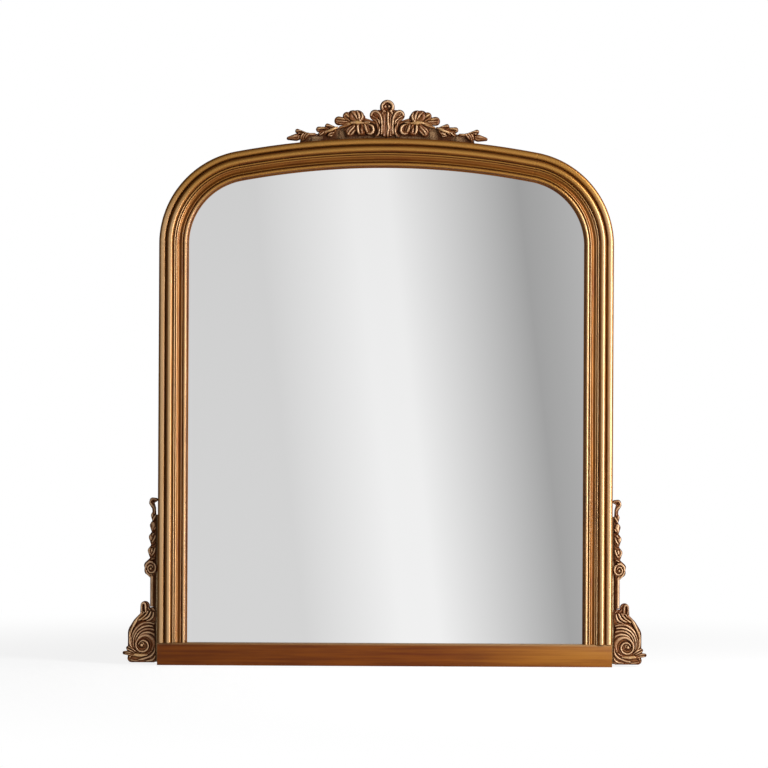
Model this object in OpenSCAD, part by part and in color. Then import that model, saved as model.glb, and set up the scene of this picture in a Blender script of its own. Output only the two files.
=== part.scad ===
// Arched overmantel mirror: a moulded gilt frame on a plain base rail, with a
// carved crest over the crown and a carved scroll and husk drop at each side.
// X is to the right, Z is up and the front faces -Y. The origin is where the
// wall plane meets the shelf top, at the middle of the frame.

/* [Frame] */
// Width over the moulded frame
frame_w = 734; // [660:1:820]
// Height of the moulded frame at the middle of the crown
frame_h = 852; // [780:1:940]
// Outer radius of the two round corners
corner_r = 152; // [120:1:180]
// Outer radius of the shallow crown
crown_r = 1315; // [1000:5:1700]
// Gap that the bumpers keep between the frame and the wall
wall_gap = 6; // [6:0.5:10]

/* [Moulding] */
// Width of the outer torus
outer_torus_w = 10.6; // [8:0.1:14]
// Rise of the outer torus above the sight fillet
outer_torus_rise = 8; // [5:0.5:10]
// Width of the main torus, the highest member
main_torus_w = 10.4; // [8:0.1:14]
// Rise of the main torus above the sight fillet
main_torus_rise = 15; // [11:0.5:20]
// Width of the narrow bead
bead_w = 3.4; // [2.4:0.1:5]
// Rise of the narrow bead
bead_rise = 5.5; // [4:0.5:8]
// Width of the broad cove
band_w = 11.2; // [8:0.1:16]
// Rise of the cove's outer shoulder
band_rise = 4; // [3:0.5:6]
// Depth of the cove below its shoulders
cove_depth = 3; // [1:0.5:3.5]
// Width of the inner torus beside the glass
inner_torus_w = 6.4; // [5:0.1:9]
// Rise of the inner torus
inner_torus_rise = 5; // [3:0.5:8]
// Width of the flat sight fillet
sight_w = 2.7; // [2:0.1:5]
// Width of the quirks between the members
quirk_w = 0.8; // [0.6:0.1:1.2]
// Thickness of the lip that holds the glass
lip_t = 2; // [1.5:0.1:4]

/* [Base rail] */
// Height of the base rail
base_h = 36; // [30:1:50]
// Thickness of the base rail in front of the glass
base_lip_t = 12; // [8:1:16]
// Bevel along the top edge of the base rail
base_bevel = 2; // [1:0.5:4]

/* [Glass and back] */
// Thickness of the silvered glass
glass_t = 4; // [3:0.5:6]
// Width of the rebate that laps the glass
rebate_w = 8; // [7:0.5:10]
// Width of the ledge that the back panel is screwed to
ledge_w = 10; // [9:0.5:12]
// Thickness of the back panel
panel_t = 6; // [4:0.5:9]
// Thickness of the blocks between the glass and the panel
block_t = 4; // [3:0.5:6]
// Length of each block
block_l = 40; // [30:1:60]
// Width of each block
block_w = 6.5; // [5:0.5:7]
// Clearance round the edge of the glass and the panel
edge_gap = 1; // [0.5:0.1:1.5]

/* [Fixings] */
// Diameter of the frame dowels
dowel_d = 8; // [6:0.5:9]
// Length of the frame dowels
dowel_l = 40; // [30:1:50]
// Radial clearance of a dowel, screw or pin in its hole
hole_gap = 0.05; // [0.02:0.01:0.1]
// Shank diameter of the panel screws
screw_d = 3; // [2.5:0.1:3.5]
// Length of the panel screws
screw_l = 15; // [12:0.5:16]
// Diameter of the wire pins that fix the carvings
pin_d = 2.2; // [1.6:0.1:2.6]
// Length of a wire pin inside the frame
pin_l = 14; // [10:1:16]
// Diameter of the wall bumpers
bumper_d = 16; // [12:1:20]

/* [Hangers] */
// Drop from the top of the moulded frame to the hanger pivots
hanger_drop = 242; // [225:1:320]
// Width of the hanger strap
strap_w = 12; // [10:0.5:14]
// Length of the hanger strap below its pivot
strap_l = 44; // [40:1:60]
// Thickness of the hanger strap
strap_t = 1.2; // [1:0.1:1.6]
// Wire diameter of the D ring
ring_wire = 2.6; // [2.2:0.1:3]
// Width of the D ring, between wire centres
ring_w = 20; // [19:0.5:24]
// Running clearance of the ring wire in its barrel
ring_gap = 0.05; // [0.03:0.01:0.1]

/* [Carving] */
// Distance from the frame's back to the back of the timber grounds
ground_set = 4; // [2:0.5:6]
// Thickness of the timber grounds
ground_t = 5; // [4:0.5:7]
// Glue line between a ground and the frame
glue_line = 0.1; // [0.05:0.05:0.3]
// Highest relief of the crest above its ground
crest_rise = 11; // [7:0.5:14]
// Highest relief of the side scrolls above their grounds
scroll_rise = 8; // [6:0.5:12]
// Half width of the crest ground
crest_reach = 141; // [135:1:150]

/* [Hidden] */
$fn = 64;

gilt = [0.70, 0.49, 0.25];
old_gilt = [0.52, 0.36, 0.20];
stain = [0.47, 0.26, 0.10];
bare_wood = [0.66, 0.52, 0.36];
steel = [0.62, 0.60, 0.56];
silver = [0.80, 0.82, 0.83];
felt = [0.35, 0.30, 0.26];
eps = 0.01;

// Levels, as heights in front of the frame's back
glass_back = panel_t + block_t;
lip_back = glass_back + glass_t;
sight_top = lip_back + lip_t;
quirk_level = sight_top - 0.5;
shoulder = sight_top + 1;
base_front = lip_back + base_lip_t;
ground_top = ground_set + ground_t;

// Distances in from the outer edge of the moulding
main_at = outer_torus_w + quirk_w;
bead_at = main_at + main_torus_w + quirk_w;
band_at = bead_at + bead_w + quirk_w;
inner_at = band_at + band_w + quirk_w;
sight_at = inner_at + inner_torus_w;
moulding_w = sight_at + sight_w;
rebate_at = moulding_w - rebate_w;
ledge_at = rebate_at - ledge_w;
screw_at = rebate_at - ledge_w * 0.45;
dowels_at = [dowel_d / 2 + 5, ledge_at - dowel_d / 2 - 2];
dowel_level = quirk_level - dowel_d / 2 - 1;
hanger_at = ledge_at / 2;
hanger_z = frame_h - hanger_drop;

// Centres of the arcs: the crown is tangent to both corners where they meet
corner_x = frame_w / 2 - corner_r;
crown_z = frame_h - crown_r;
spring_z = crown_z + sqrt(pow(crown_r - corner_r, 2) - pow(corner_x, 2));
joint_a = atan2(spring_z - crown_z, corner_x);

function polar(a) = [cos(a), sin(a)];
function arc(c, r, a0, a1, n) = [for (i = [0:n]) c + r * polar(a0 + (a1 - a0) * i / n)];
function curve(p, n) = [for (i = [0:n]) let (t = i / n, s = 1 - t)
    s * s * s * p[0] + 3 * s * s * t * p[1] + 3 * s * t * t * p[2] + t * t * t * p[3]];
function crown_top(x) = crown_z + sqrt(crown_r * crown_r - x * x);

// The moulding

function member(at, w, level, fall, rise, n) = [for (i = [0:n])
    [at + w / 2 * (1 - cos(180 * i / n)), level - fall * i / n + rise * sin(180 * i / n)]];
function cove(at, w, level, fall, depth, n) = [for (i = [0:n])
    [at + w * i / n, level - fall * i / n - depth * pow(sin(180 * i / n), 2)]];
function section() = concat(
    [[0, 0]],
    member(0, outer_torus_w, shoulder, 0, outer_torus_rise - 1, 10),
    [[outer_torus_w, quirk_level], [main_at, quirk_level]],
    member(main_at, main_torus_w, shoulder, 0, main_torus_rise - 1, 12),
    [[main_at + main_torus_w, quirk_level], [bead_at, quirk_level]],
    member(bead_at, bead_w, shoulder + 2, 0, bead_rise - 3, 6),
    [[bead_at + bead_w, quirk_level], [band_at, quirk_level]],
    cove(band_at, band_w, sight_top + band_rise, 1, cove_depth, 10),
    [[band_at + band_w, quirk_level], [inner_at, quirk_level]],
    member(inner_at, inner_torus_w, shoulder, 0, inner_torus_rise - 1, 8),
    [[sight_at, sight_top], [moulding_w, sight_top], [moulding_w, lip_back], [rebate_at, lip_back],
     [rebate_at, panel_t], [ledge_at, panel_t], [ledge_at, 0]]);

module moulded_arc(c, r, a0, a1)
    translate([c.x, 0, c.y]) rotate([90, 0, 0]) rotate([0, 0, a0])
        rotate_extrude(angle = a1 - a0, $fn = 240)
            polygon([for (p = section()) [r - p.x, wall_gap + p.y]]);

// Frame joints and fixings. Each dowel, screw or pin is drawn once: with no gap as the
// piece itself, and with a gap as the hole that it sits in.

module dowel_pair(edge_x, gap) for (at = dowels_at)
    translate([edge_x - at, -wall_gap - dowel_level, -dowel_l / 2 - 5 * gap])
        cylinder(d = dowel_d + 2 * gap, h = dowel_l + 10 * gap);
module foot_dowels(gap = 0) translate([0, 0, base_h]) dowel_pair(frame_w / 2, gap);
module spring_dowels(gap = 0) translate([0, 0, spring_z]) dowel_pair(frame_w / 2, gap);
module crown_dowels(gap = 0)
    translate([0, 0, crown_z]) rotate([0, -joint_a, 0]) dowel_pair(crown_r, gap);

module both_sides() {
    children();
    mirror([1, 0, 0]) children();
}

// A countersunk screw driven towards -Y, with its head flush at level 0
module screw(gap = 0, d = screw_d, l = screw_l) translate([0, -wall_gap, 0]) rotate([90, 0, 0]) {
    translate([0, 0, gap > 0 ? -1 : 0]) cylinder(d = d + 2 * gap, h = l - d + (gap > 0 ? 1 : 0));
    translate([0, 0, l - d - eps]) cylinder(d1 = d + 2 * gap, d2 = d / 4 + 2 * gap, h = d + gap);
    cylinder(d1 = 2 * d + 2 * gap, d2 = d + 2 * gap, h = d / 2);
}
base_pitch = frame_w * 0.3;
side_screw_z = [base_h + 84, (base_h + spring_z) / 2, spring_z - 80];
module side_screws(gap = 0)
    for (z = side_screw_z) translate([frame_w / 2 - screw_at, 0, z]) screw(gap);
module corner_screw(gap = 0)
    translate([corner_x, 0, spring_z] + (corner_r - screw_at) * [cos(45), 0, sin(45)]) screw(gap);
module crown_screws(gap = 0) for (a = [-6, 0, 6])
    translate([0, 0, crown_z] + (crown_r - screw_at) * [sin(a), 0, cos(a)]) screw(gap);
module base_screws(gap = 0) for (i = [-1:1])
    translate([i * base_pitch, 0, base_h - moulding_w + screw_at]) screw(gap);

hanger_screw_z = [hanger_z - strap_l * 0.5, hanger_z - strap_l * 0.82];
module strap_screws(gap = 0) for (z = hanger_screw_z)
    translate([frame_w / 2 - hanger_at, strap_t, z]) screw(gap);

crest_pin_x = [46, 118];
module crest_pin_pair(gap = 0) for (x = crest_pin_x)
    translate([x, -wall_gap - ground_top + ground_t / 2, crown_top(x) - pin_l - gap])
        cylinder(d = pin_d + 2 * gap, h = pin_l + 7 + 2 * gap);

side_pin_z = [10, 64, 156, 228];
side_pin_reach = [16, 16, 9, 6];
module side_pin_row(gap = 0) for (i = [0:len(side_pin_z) - 1])
    translate([frame_w / 2 - pin_l - gap, -wall_gap - ground_top + ground_t / 2, side_pin_z[i]])
        rotate([0, 90, 0]) cylinder(d = pin_d + 2 * gap, h = pin_l + side_pin_reach[i] + 2 * gap);

module stile() color(gilt) difference() {
    translate([0, 0, base_h]) linear_extrude(spring_z - base_h)
        polygon([for (p = section()) [frame_w / 2 - p.x, -wall_gap - p.y]]);
    foot_dowels(hole_gap);
    spring_dowels(hole_gap);
    side_screws(hole_gap);
    strap_screws(hole_gap);
    side_pin_row(hole_gap);
}

module corner() color(gilt) difference() {
    moulded_arc([corner_x, spring_z], corner_r, 0, joint_a);
    spring_dowels(hole_gap);
    crown_dowels(hole_gap);
    corner_screw(hole_gap);
}

module crown_rail() color(gilt) difference() {
    moulded_arc([0, crown_z], crown_r, joint_a, 180 - joint_a);
    both_sides() {
        crown_dowels(hole_gap);
        crest_pin_pair(hole_gap);
    }
    crown_screws(hole_gap);
}

// The base rail is plain in front, with the glass and panel rebates stopped behind
module base_rail() color(stain) difference() {
    rotate([90, 0, 90]) translate([0, 0, -frame_w / 2]) linear_extrude(frame_w)
        polygon([[-wall_gap, 0], [-wall_gap - base_front, 0], [-wall_gap - base_front, base_h - base_bevel],
            [-wall_gap - base_front + base_bevel, base_h], [-wall_gap, base_h]]);
    rebate_box(rebate_at, lip_back);
    rebate_box(ledge_at, panel_t);
    both_sides() {
        foot_dowels(hole_gap);
        side_pin_row(hole_gap);
    }
    base_screws(hole_gap);
}
module rebate_box(at, level)
    translate([at - frame_w / 2, -wall_gap - level, base_h - moulding_w + at])
        cube([frame_w - 2 * at, level + 1, moulding_w]);

module frame_dowels() color(bare_wood) both_sides() {
    foot_dowels();
    spring_dowels();
    crown_dowels();
}

// Glass and back

// Outline set in by a distance from the frame's outer edge
function arched(at) = concat(
    arc([corner_x, spring_z], corner_r - at, 0, joint_a, 24),
    arc([0, crown_z], crown_r - at, joint_a, 180 - joint_a, 20),
    arc([-corner_x, spring_z], corner_r - at, 180 - joint_a, 180, 24),
    [[at - frame_w / 2, base_h - moulding_w + at], [frame_w / 2 - at, base_h - moulding_w + at]]);
module sheet(level, t)
    translate([0, -wall_gap - level, 0]) rotate([90, 0, 0]) linear_extrude(t) children();

module mirror_glass() color(silver) sheet(glass_back, glass_t) polygon(arched(rebate_at + edge_gap));

module block()
    translate([-block_l / 2, -wall_gap - glass_back, 0]) cube([block_l, block_t, block_w]);
module glass_blocks() color(bare_wood) {
    both_sides() for (z = side_screw_z)
        translate([frame_w / 2 - rebate_at - edge_gap / 2, 0, z - block_l]) rotate([0, -90, 0]) block();
    for (i = [-1:1])
        translate([i * base_pitch + block_l, 0, base_h - moulding_w + rebate_at + edge_gap / 2]) block();
    for (a = [-5, 0, 5]) translate([0, 0, crown_z]) rotate([0, a, 0])
        translate([0, 0, crown_r - rebate_at - edge_gap / 2 - block_w]) block();
}

module back_panel() color(bare_wood) difference() {
    sheet(0, panel_t) polygon(arched(ledge_at + edge_gap));
    both_sides() {
        side_screws(hole_gap);
        corner_screw(hole_gap);
    }
    crown_screws(hole_gap);
    base_screws(hole_gap);
}

module panel_screws() color(steel) {
    both_sides() {
        side_screws();
        corner_screw();
    }
    crown_screws();
    base_screws();
}

// Hangers: a strap whose top end is rolled round the bar of a D ring

pivot_level = -strap_t - 0.4 - ring_wire / 2;
barrel_r = ring_wire / 2 + ring_gap + 0.75;
bend_r = 2.5;
module at_pivot() translate([frame_w / 2 - hanger_at, -wall_gap - pivot_level, hanger_z]) children();
module hanger() color(steel) difference() {
    union() {
        translate([frame_w / 2 - hanger_at - strap_w / 2, -wall_gap, hanger_z - strap_l])
            cube([strap_w, strap_t, strap_l]);
        at_pivot() rotate([0, 90, 0]) cylinder(r = barrel_r, h = strap_w, center = true);
    }
    at_pivot() rotate([0, 90, 0]) cylinder(d = ring_wire + 2 * ring_gap, h = strap_w + 2, center = true);
    strap_screws(hole_gap);
}
module wire(l) cylinder(d = ring_wire, h = l);
module d_ring() color(steel) at_pivot() {
    bar = ring_w - 2 * bend_r;
    leg = 1.5;
    translate([-bar / 2, 0, 0]) rotate([0, 90, 0]) wire(bar);
    both_sides() {
        translate([bar / 2, 0, -bend_r]) rotate([90, 0, 0]) rotate_extrude(angle = 90)
            translate([bend_r, 0]) circle(d = ring_wire);
        translate([ring_w / 2, 0, -bend_r - leg]) wire(leg);
    }
    translate([0, 0, -bend_r - leg]) rotate([90, 0, 0]) rotate([0, 0, 180]) rotate_extrude(angle = 180)
        translate([ring_w / 2, 0]) circle(d = ring_wire);
}
module hanger_screws() color(steel) both_sides() strap_screws();

bumper_x = frame_w / 2 - 60;
bumper_a = 50;
bumper_spots = [[bumper_x, base_h / 4],
    [corner_x, spring_z] + (corner_r - ledge_at / 2) * polar(bumper_a)];
module wall_bumpers() color(felt) both_sides() for (p = bumper_spots)
    translate([p.x, 0, p.y]) rotate([90, 0, 0]) cylinder(d = min(bumper_d, base_h / 2), h = wall_gap);

// Carving. Every carved piece lies on the front of a timber ground and is drawn in the
// frame's face plane, with its relief rising towards the front.

function at_level(p, h) = [p.x, -wall_gap - ground_top - h, p.y];
module carved_plate(h0, h1)
    translate([0, -wall_gap - ground_top - h0, 0]) rotate([90, 0, 0]) linear_extrude(h1 - h0) children();

// An arm is a tapered stroke [from, to, radius at from, radius at to]
module arms2d(arms) for (m = arms) hull() {
    translate(m[0]) circle(m[2], $fn = 20);
    translate(m[1]) circle(m[3], $fn = 20);
}
function arm_depth(p, m) = let (along = m[1] - m[0],
    t = max(0, min(1, (p - m[0]) * along / (along * along))))
    m[2] + (m[3] - m[2]) * t - norm(p - m[0] - t * along);
function depth(p, arms) = max([for (m = arms) arm_depth(p, m)]);
// Distance from an eye to the outline of the arms, walking in from far outside
function reach(eye, u, arms, r) = let (f = depth(eye + r * u, arms))
    f > -0.03 || r < 1 ? r : reach(eye, u, arms, r + 0.9 * f);
// Relief of a gouged lobe, from its edge over a rim and down into a scoop
rim_w = 1.4;
function gouged(f) = f < rim_w ? 0.45 + 0.55 * sin(90 * f / rim_w)
    : 0.5 + 0.5 * exp(-pow((f - rim_w) / 2, 2));

// A leaf whose lobes fan out of an eye: rings of points step in from the outline
module fan(arms, rise, boss_r, steps = 72) {
    eye = arms[0][0];
    spokes = [for (i = [0:steps - 1]) let (u = polar(360 * i / steps)) [u, reach(eye, u, arms, 60)]];
    function inset(r, k) = k < 2 ? r : k == 2 ? max(r - 1, 0.88 * r) : k == 3 ? max(r - 2.3, 0.7 * r)
        : k == 4 ? max(r - 4.6, 0.5 * r) : inset(r, 4) * (k == 5 ? 0.66 : 0.33);
    function relief(p) = rise * (gouged(depth(p, arms)) * (0.7 + 0.3 * min(1, norm(p - eye) / 30))
        + 0.4 * exp(-pow(norm(p - eye) / boss_r, 2)));
    rings = 7;
    front = [for (k = [0:rings - 1]) for (s = spokes) let (p = eye + inset(s[1], k) * s[0])
        at_level(p, k == 0 ? 0 : relief(eye + (inset(s[1], k) - (k == 1 ? 0.05 : 0)) * s[0]))];
    next = function (i) (i + 1) % steps;
    last = (rings - 1) * steps;
    polyhedron(concat(front, [at_level(eye, relief(eye)), at_level(eye, 0)]), concat(
        [for (k = [0:rings - 2]) for (i = [0:steps - 1]) let (a = k * steps, b = a + steps)
            each [[a + i, b + i, b + next(i)], [a + i, b + next(i), a + next(i)]]],
        [for (i = [0:steps - 1])
            each [[last + i, rings * steps, last + next(i)], [next(i), rings * steps + 1, i]]]));
}

// A ridge along a path, with its width at each point of the path
function even(n, w0, w1) = [for (i = [0:n]) (w0 + (w1 - w0) * i / n) * (i == 0 || i == n ? 0.6 : 1)];
function ridge_h(rise, w, full) = rise * min(1, w / full + 0.2);
module rib(path, widths, rise, sides = 2) {
    n = len(path) - 1;
    m = sides + 1;
    full = widths[floor(n / 2)];
    points = [for (i = [0:n])
        let (t = path[min(i + 1, n)] - path[max(i - 1, 0)], across = [-t.y, t.x] / norm(t) * widths[i] / 2)
        for (j = [0:sides]) let (a = 180 * j / sides)
            at_level(path[i] + across * cos(a), ridge_h(rise, widths[i], full) * sin(a))];
    polyhedron(points, concat(
        [for (i = [0:n - 1]) for (j = [0:sides - 1]) let (p = i * m + j)
            each [[p, p + m, p + m + 1], [p, p + m + 1, p + 1]]],
        [for (i = [0:n - 1]) let (p = i * m, q = p + sides) each [[p, q, q + m], [p, q + m, p + m]]],
        [[for (j = [0:sides]) j], [for (j = [sides:-1:0]) n * m + j]]));
}
// Strokes are ridges along Bezier curves: [control points, width at each end, share of the rise, steps]
module strokes(list, rise) for (s = list) rib(curve(s[0], s[4]), even(s[4], s[1], s[2]), rise * s[3]);

// Crest

module on_crown(x) translate([x, 0, crown_top(x)]) children();

leaf_x = 46;
leaf_eye = [0, 26];
leaf_arms = [
    [leaf_eye, [2.4, 34.8], 5, 11.6], [leaf_eye, [9, 35.6], 5, 10.6],
    [leaf_eye, [19, 36.3], 4, 7], [leaf_eye, [32.3, 28.8], 3.5, 7.2],
    [leaf_eye, [30, 18.3], 3, 2], [leaf_eye, [21, 13.8], 3, 3], [leaf_eye, [15.5, 8.4], 4, 6],
    [leaf_eye, [-4.5, 13.8], 6, 9], [leaf_eye, [-18, 14.8], 4, 8.8]];
module crest_leaf() color(old_gilt) on_crown(leaf_x) fan(leaf_arms, crest_rise * 0.75, 5, 72);

spray_x = 92;
spray_eye = [-8, 18.7];
spray_arms = [
    [spray_eye, [4.5, 22.7], 3, 4.2], [spray_eye, [18.5, 17.2], 3, 4.6], [spray_eye, [16.5, 9.7], 3, 3.4],
    [spray_eye, [0, 8.7], 3, 4.6], [spray_eye, [-11.3, 19.8], 2.6, 2.2]];
module crest_spray() color(old_gilt) on_crown(spray_x) fan(spray_arms, crest_rise * 0.6, 3, 48);

tip_x = 140;
tip_eye = [-12, 13];
tip_arms = [
    [tip_eye, [5, 18.5], 2.6, 3.8], [tip_eye, [17.6, 8], 3.4, 4.8], [tip_eye, [-3, 6], 2.6, 3.4],
    [tip_eye, [-22.6, 13.6], 2.6, 2.2]];
module crest_tip() color(old_gilt) on_crown(tip_x) fan(tip_arms, crest_rise * 0.5, 3, 48);

// The palmette: fluted stems rise from its foot, the outer ones curl over and the
// middle ones carry a round head
head_z = 50.5;
head_r = 12;
curl = [19.5, 37.5];
curl_r = 9;
foot_z = 2;
palmette_arms = [[[0, 26], [0, head_z], 8, head_r], [[0, 26], [0, 13], 9, 12],
    for (s = [-1, 1]) each [[[0, 24], [s * curl.x, curl.y], 8, curl_r], [[0, 30], [s * 13, 40.2], 8, 6],
        [[s * 12, 10], [s * 17, 24], 3, 2.4], [[s * 17, 24], [s * 36, 31], 2.4, 1.8],
        [[s * 13, 8], [s * 18.6, 4.2], 3, 2.2]]];
palmette_strokes = [
    [[[5, foot_z + 0.5], [4.6, 16], [4, 30], [6.5, 42]], 3.6, 3, 0.8, 6],
    [[[9.6, foot_z + 0.7], [8.5, 20], [8, 34], [15, 42]], 4, 4, 0.84, 6],
    [[[13, 4], [11.5, 24], [18, 31], [25, 35]], 3.4, 3.6, 0.75, 6],
    [[[14.4, foot_z + 0.9], [18, 22], [20, 31], [36, 31]], 3, 3, 0.5, 7]];
module crest_palmette() color(old_gilt) on_crown(0) {
    carved_plate(0, crest_rise * 0.35) intersection() {
        arms2d(palmette_arms);
        translate([-40, foot_z]) square([80, 80]);
    }
    strokes([[[[0, foot_z + 0.3], [0, 15], [0, 30], [0, 41]], 4, 3, 0.85, 4]], crest_rise);
    rib(arc([0, head_z], head_r - 2.4, -60, 240, 14), even(14, 4.4, 4.4), crest_rise * 0.9);
    both_sides() {
        strokes(palmette_strokes, crest_rise);
        rib(arc(curl, curl_r - 2.4, 125, -45, 9), even(9, 4.4, 3.6), crest_rise * 0.78);
    }
}

// The crest's ground is a strip along the crown with a backing that fills between the carved
// pieces, and small blocks that stand a little proud of it
strip_h = 4.2;
// Outline of the backing from the middle out: [x, height above the crown's edge]
backing = [[0, 48], [9, 48], [9, 38], [22, 38], [24, 28], [36, 30], [58, 28], [66, 22], [78, 19.5],
    [90, 17], [104, 14.5], [110, 11.5], [117, 12.5], [126, 11], [135, 6]];
// Blocks: [x, width, height above the crown's edge]
crest_blocks = [[73, 8, 13.6], [116.5, 11, 8.3]];
block_rise = 1.5;
seat_depth = 6;
module crest_ground() color(bare_wood) difference() {
    union() {
        carved_plate(-ground_t, 0) on_crown_edge() {
            intersection() {
                translate([0, crown_z]) circle(crown_r + strip_h, $fn = 240);
                translate([-crest_reach, frame_h - 40]) square([2 * crest_reach, 60]);
            }
            both_sides() crest_backing();
        }
        carved_plate(-ground_t, block_rise) on_crown_edge() both_sides() for (b = crest_blocks)
            translate([b[0] - b[1] / 2, crown_top(b[0]) - seat_depth]) square([b[1], b[2] + seat_depth]);
    }
    both_sides() crest_pin_pair(hole_gap);
}
// Cuts the frame's edge out of what is drawn on it, with the glue line
module on_crown_edge() difference() {
    union() children();
    translate([0, crown_z]) circle(crown_r + glue_line, $fn = 240);
}
module crest_backing() let (end = backing[len(backing) - 1].x) polygon(concat(
    [[0, crown_top(end) - seat_depth]], [for (p = backing) [p.x, crown_top(p.x) + p.y]],
    [[end, crown_top(end) - seat_depth]]));
module crest_pins() color(steel) both_sides() crest_pin_pair();

// Side carvings, drawn outwards from the frame's edge

module beside() translate([frame_w / 2, 0, 0]) children();

// The scroll is a shell: a spiral volute with ribs fanning round it from the frame's
// edge, an acanthus leaf up its outer side and a foot curling out below
margin = 2.4;
scroll_z = [3.4, 103.4];
volute = [25, 30.5];
volute_r = 11.3;
volute_growth = 1.8;
volute_a = [-780, 288];
volute_steps = 42;
coil_share = 0.43;
shell_ribs = 4;
shell_steps = 12;
shell_end_a = -20;
function volute_at(a) = volute_r * pow(volute_growth, a / 360);
function shell_gap(a) = 5.2 * pow((a + 45) / 135, 1.6);
function shell_at(k, a) = volute_at(a) + k * shell_gap(a);
// Angle at which a shell rib starts, where it meets the margin beside the frame
function shell_start(k, a = 140, tries = 8) = tries == 0 ? a
    : shell_start(k, (a + 180 - acos(min(1, (volute.x - margin - 1) / shell_at(k, a)))) / 2, tries - 1);
function steps_between(a0, a1, n) = [for (i = [0:n]) a0 + (a1 - a0) * i / n];

scroll_foot = [42, 18];
scroll_curl = [20.4, 95];
scroll_arms = [
    [volute, [26, 38], 22, 22], [[26, 38], [26, 50], 22, 22], [[26, 50], [27, 64], 22, 17],
    [[27, 64], [22, 77], 17, 10], [[20, 82], scroll_curl, 8.4, 7.5],
    [volute, [8, 9], 22, 6], [[8, 9], [42, 10], 5.6, 6.6], [[25.5, 40], [42, 12], 22.5, 6],
    [scroll_foot, [47.5, 26.4], 4.4, 3.4], [scroll_foot, [53.7, 18.6], 4.6, 2.8], [[12, 70], [9, 85.8], 9, 7]];
scroll_strokes = [
    [[[margin + 1.5, 27], [8, 12], [23, 6.8], [43, 7]], 4, 4, 0.75, 7],
    [[[margin + 2, 14], [8, 6.5], [17, 5.4], [30, 5.4]], 3, 2, 0.6, 5],
    [[[30, 14], [36, 11], [40, 15], [46, 13]], 6, 4, 0.9, 5],
    [[[26, 86], [41, 72], [50, 55], [46.2, 33]], 4.6, 3.4, 1, 8],
    [[[20, 85], [29, 74], [44, 61], [43, 38]], 4.4, 2.4, 0.9, 7],
    [[[13.5, 84], [19, 72], [34, 69], [41, 48]], 4.4, 2, 0.85, 7],
    [[[6, 84], [6, 72], [20, 71], [32, 62]], 4, 2, 0.8, 6],
    [[[6, 84], [6, 92], [10, 92], [13, 88]], 3.4, 3.4, 0.8, 5],
    [[scroll_foot, [45, 21], [47, 24], [48.4, 27]], 4, 3.4, 0.9, 4],
    [[scroll_foot + [2, -1], [48, 17.6], [51, 18.4], [55, 18.6]], 4, 3.6, 0.9, 3]];
module scroll() color(old_gilt) beside() union() {
    carved_plate(0, scroll_rise * 0.4) intersection() {
        arms2d(scroll_arms);
        translate([margin, scroll_z[0]]) square([70, scroll_z[1] - scroll_z[0]]);
    }
    coil = steps_between(volute_a[0], volute_a[1], volute_steps);
    rib([for (a = coil) volute + volute_at(a) * polar(a)],
        [for (a = coil) coil_share * volute_at(a)], scroll_rise);
    for (k = [1:shell_ribs]) {
        sweep = steps_between(shell_start(k), shell_end_a, shell_steps);
        rib([for (a = sweep) volute + shell_at(k, a) * polar(a)],
            [for (a = sweep) min(5.4, 0.9 * shell_gap(a))], scroll_rise * 0.85);
    }
    strokes(scroll_strokes, scroll_rise);
    rib(arc(scroll_curl, 4.9, 215, -35, 10), even(10, 4.4, 4.4), scroll_rise);
}

// The drop: a small volute, four husks that grow towards it, and a crook at the top
// that hooks back to the frame
small_volute = [11, 155];
small_volute_r = 10.6;
husks = 4;
husk_top = 246;
husk_pitch = 15;
husk_step = 3;
function husk_z(k) = husk_top - husk_pitch * k - husk_step * k * (k - 1) / 2;
function husk_at(k) = [7.6 + 0.8 * k, husk_z(k)];
module husk(k) {
    w = 4.2 + 0.8 * k;
    top = husk_at(k);
    tip = [top.x, husk_z(k + 1) - 1];
    l = top.y - tip.y;
    carved_plate(0, 2) for (s = [-1, 1]) hull() {
        translate(top + [s * (w - 2.4), -l * 0.38]) circle(1.8, $fn = 12);
        translate(tip + [0, 1]) circle(1, $fn = 8);
        translate(top + [0, -1.5]) circle(1.6, $fn = 8);
    }
    strokes([
        for (s = [-1, 1]) [[top + [s, -0.5], top + [s * (w + 1.5), -l * 0.3], top + [s * (w - 1), -l * 0.6],
            tip + [s * 0.7, 0.6]], 2, 1.6, 0.8, 5],
        [[top - [0, l * 0.3], top - [0, l * 0.5], tip + [0, l * 0.2], tip + [0, 0.4]], 2.6, 1.6, 1, 3]], 6);
}
drop_tail = [17.7, 150.3];
spine_arms = [[husk_at(0) - [1.6, 3], husk_at(husks) + [-2.6, 4], 3, 4.6]];
crook_arms = [[[6, 243], [6.8, 253], 2.9, 3.2], [[6.8, 253], [10.4, 261], 3.2, 4.4],
    [[10.4, 261], [9, 265], 4.4, 4.9], [[9, 265], [3.3, 266.2], 4.9, 3]];
crook_strokes = [
    [[[6.4, 243], [6.4, 253], [13.5, 257], [12.4, 263]], 3.4, 3.6, 1, 7],
    [[[12.6, 262.5], [11, 269], [4, 269], [2, 265]], 3.6, 2.8, 1, 6]];
module drop() color(old_gilt) beside() union() {
    for (k = [0:husks - 1]) husk(k);
    carved_plate(0, 2.5) arms2d(concat(spine_arms, crook_arms));
    carved_plate(0, 2.5) intersection() {
        arms2d([[small_volute, small_volute, small_volute_r, small_volute_r],
            [small_volute + [4, 5], husk_at(husks) + [0, 2], 7.5, 3]]);
        translate([margin, small_volute.y - 20]) square([30, 40]);
    }
    coil = steps_between(-560, -30, 17);
    rib([for (a = coil) small_volute + 8.6 * pow(1.9, a / 360) * polar(a)],
        [for (a = coil) 3.6 * pow(1.9, a / 360)], 6.5);
    strokes([[[drop_tail, [21.5, 154], [21.5, 166], husk_at(husks) + [0.6, 3]], 3.6, 3, 1, 7]], 6);
    strokes(crook_strokes, 5);
}

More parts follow.
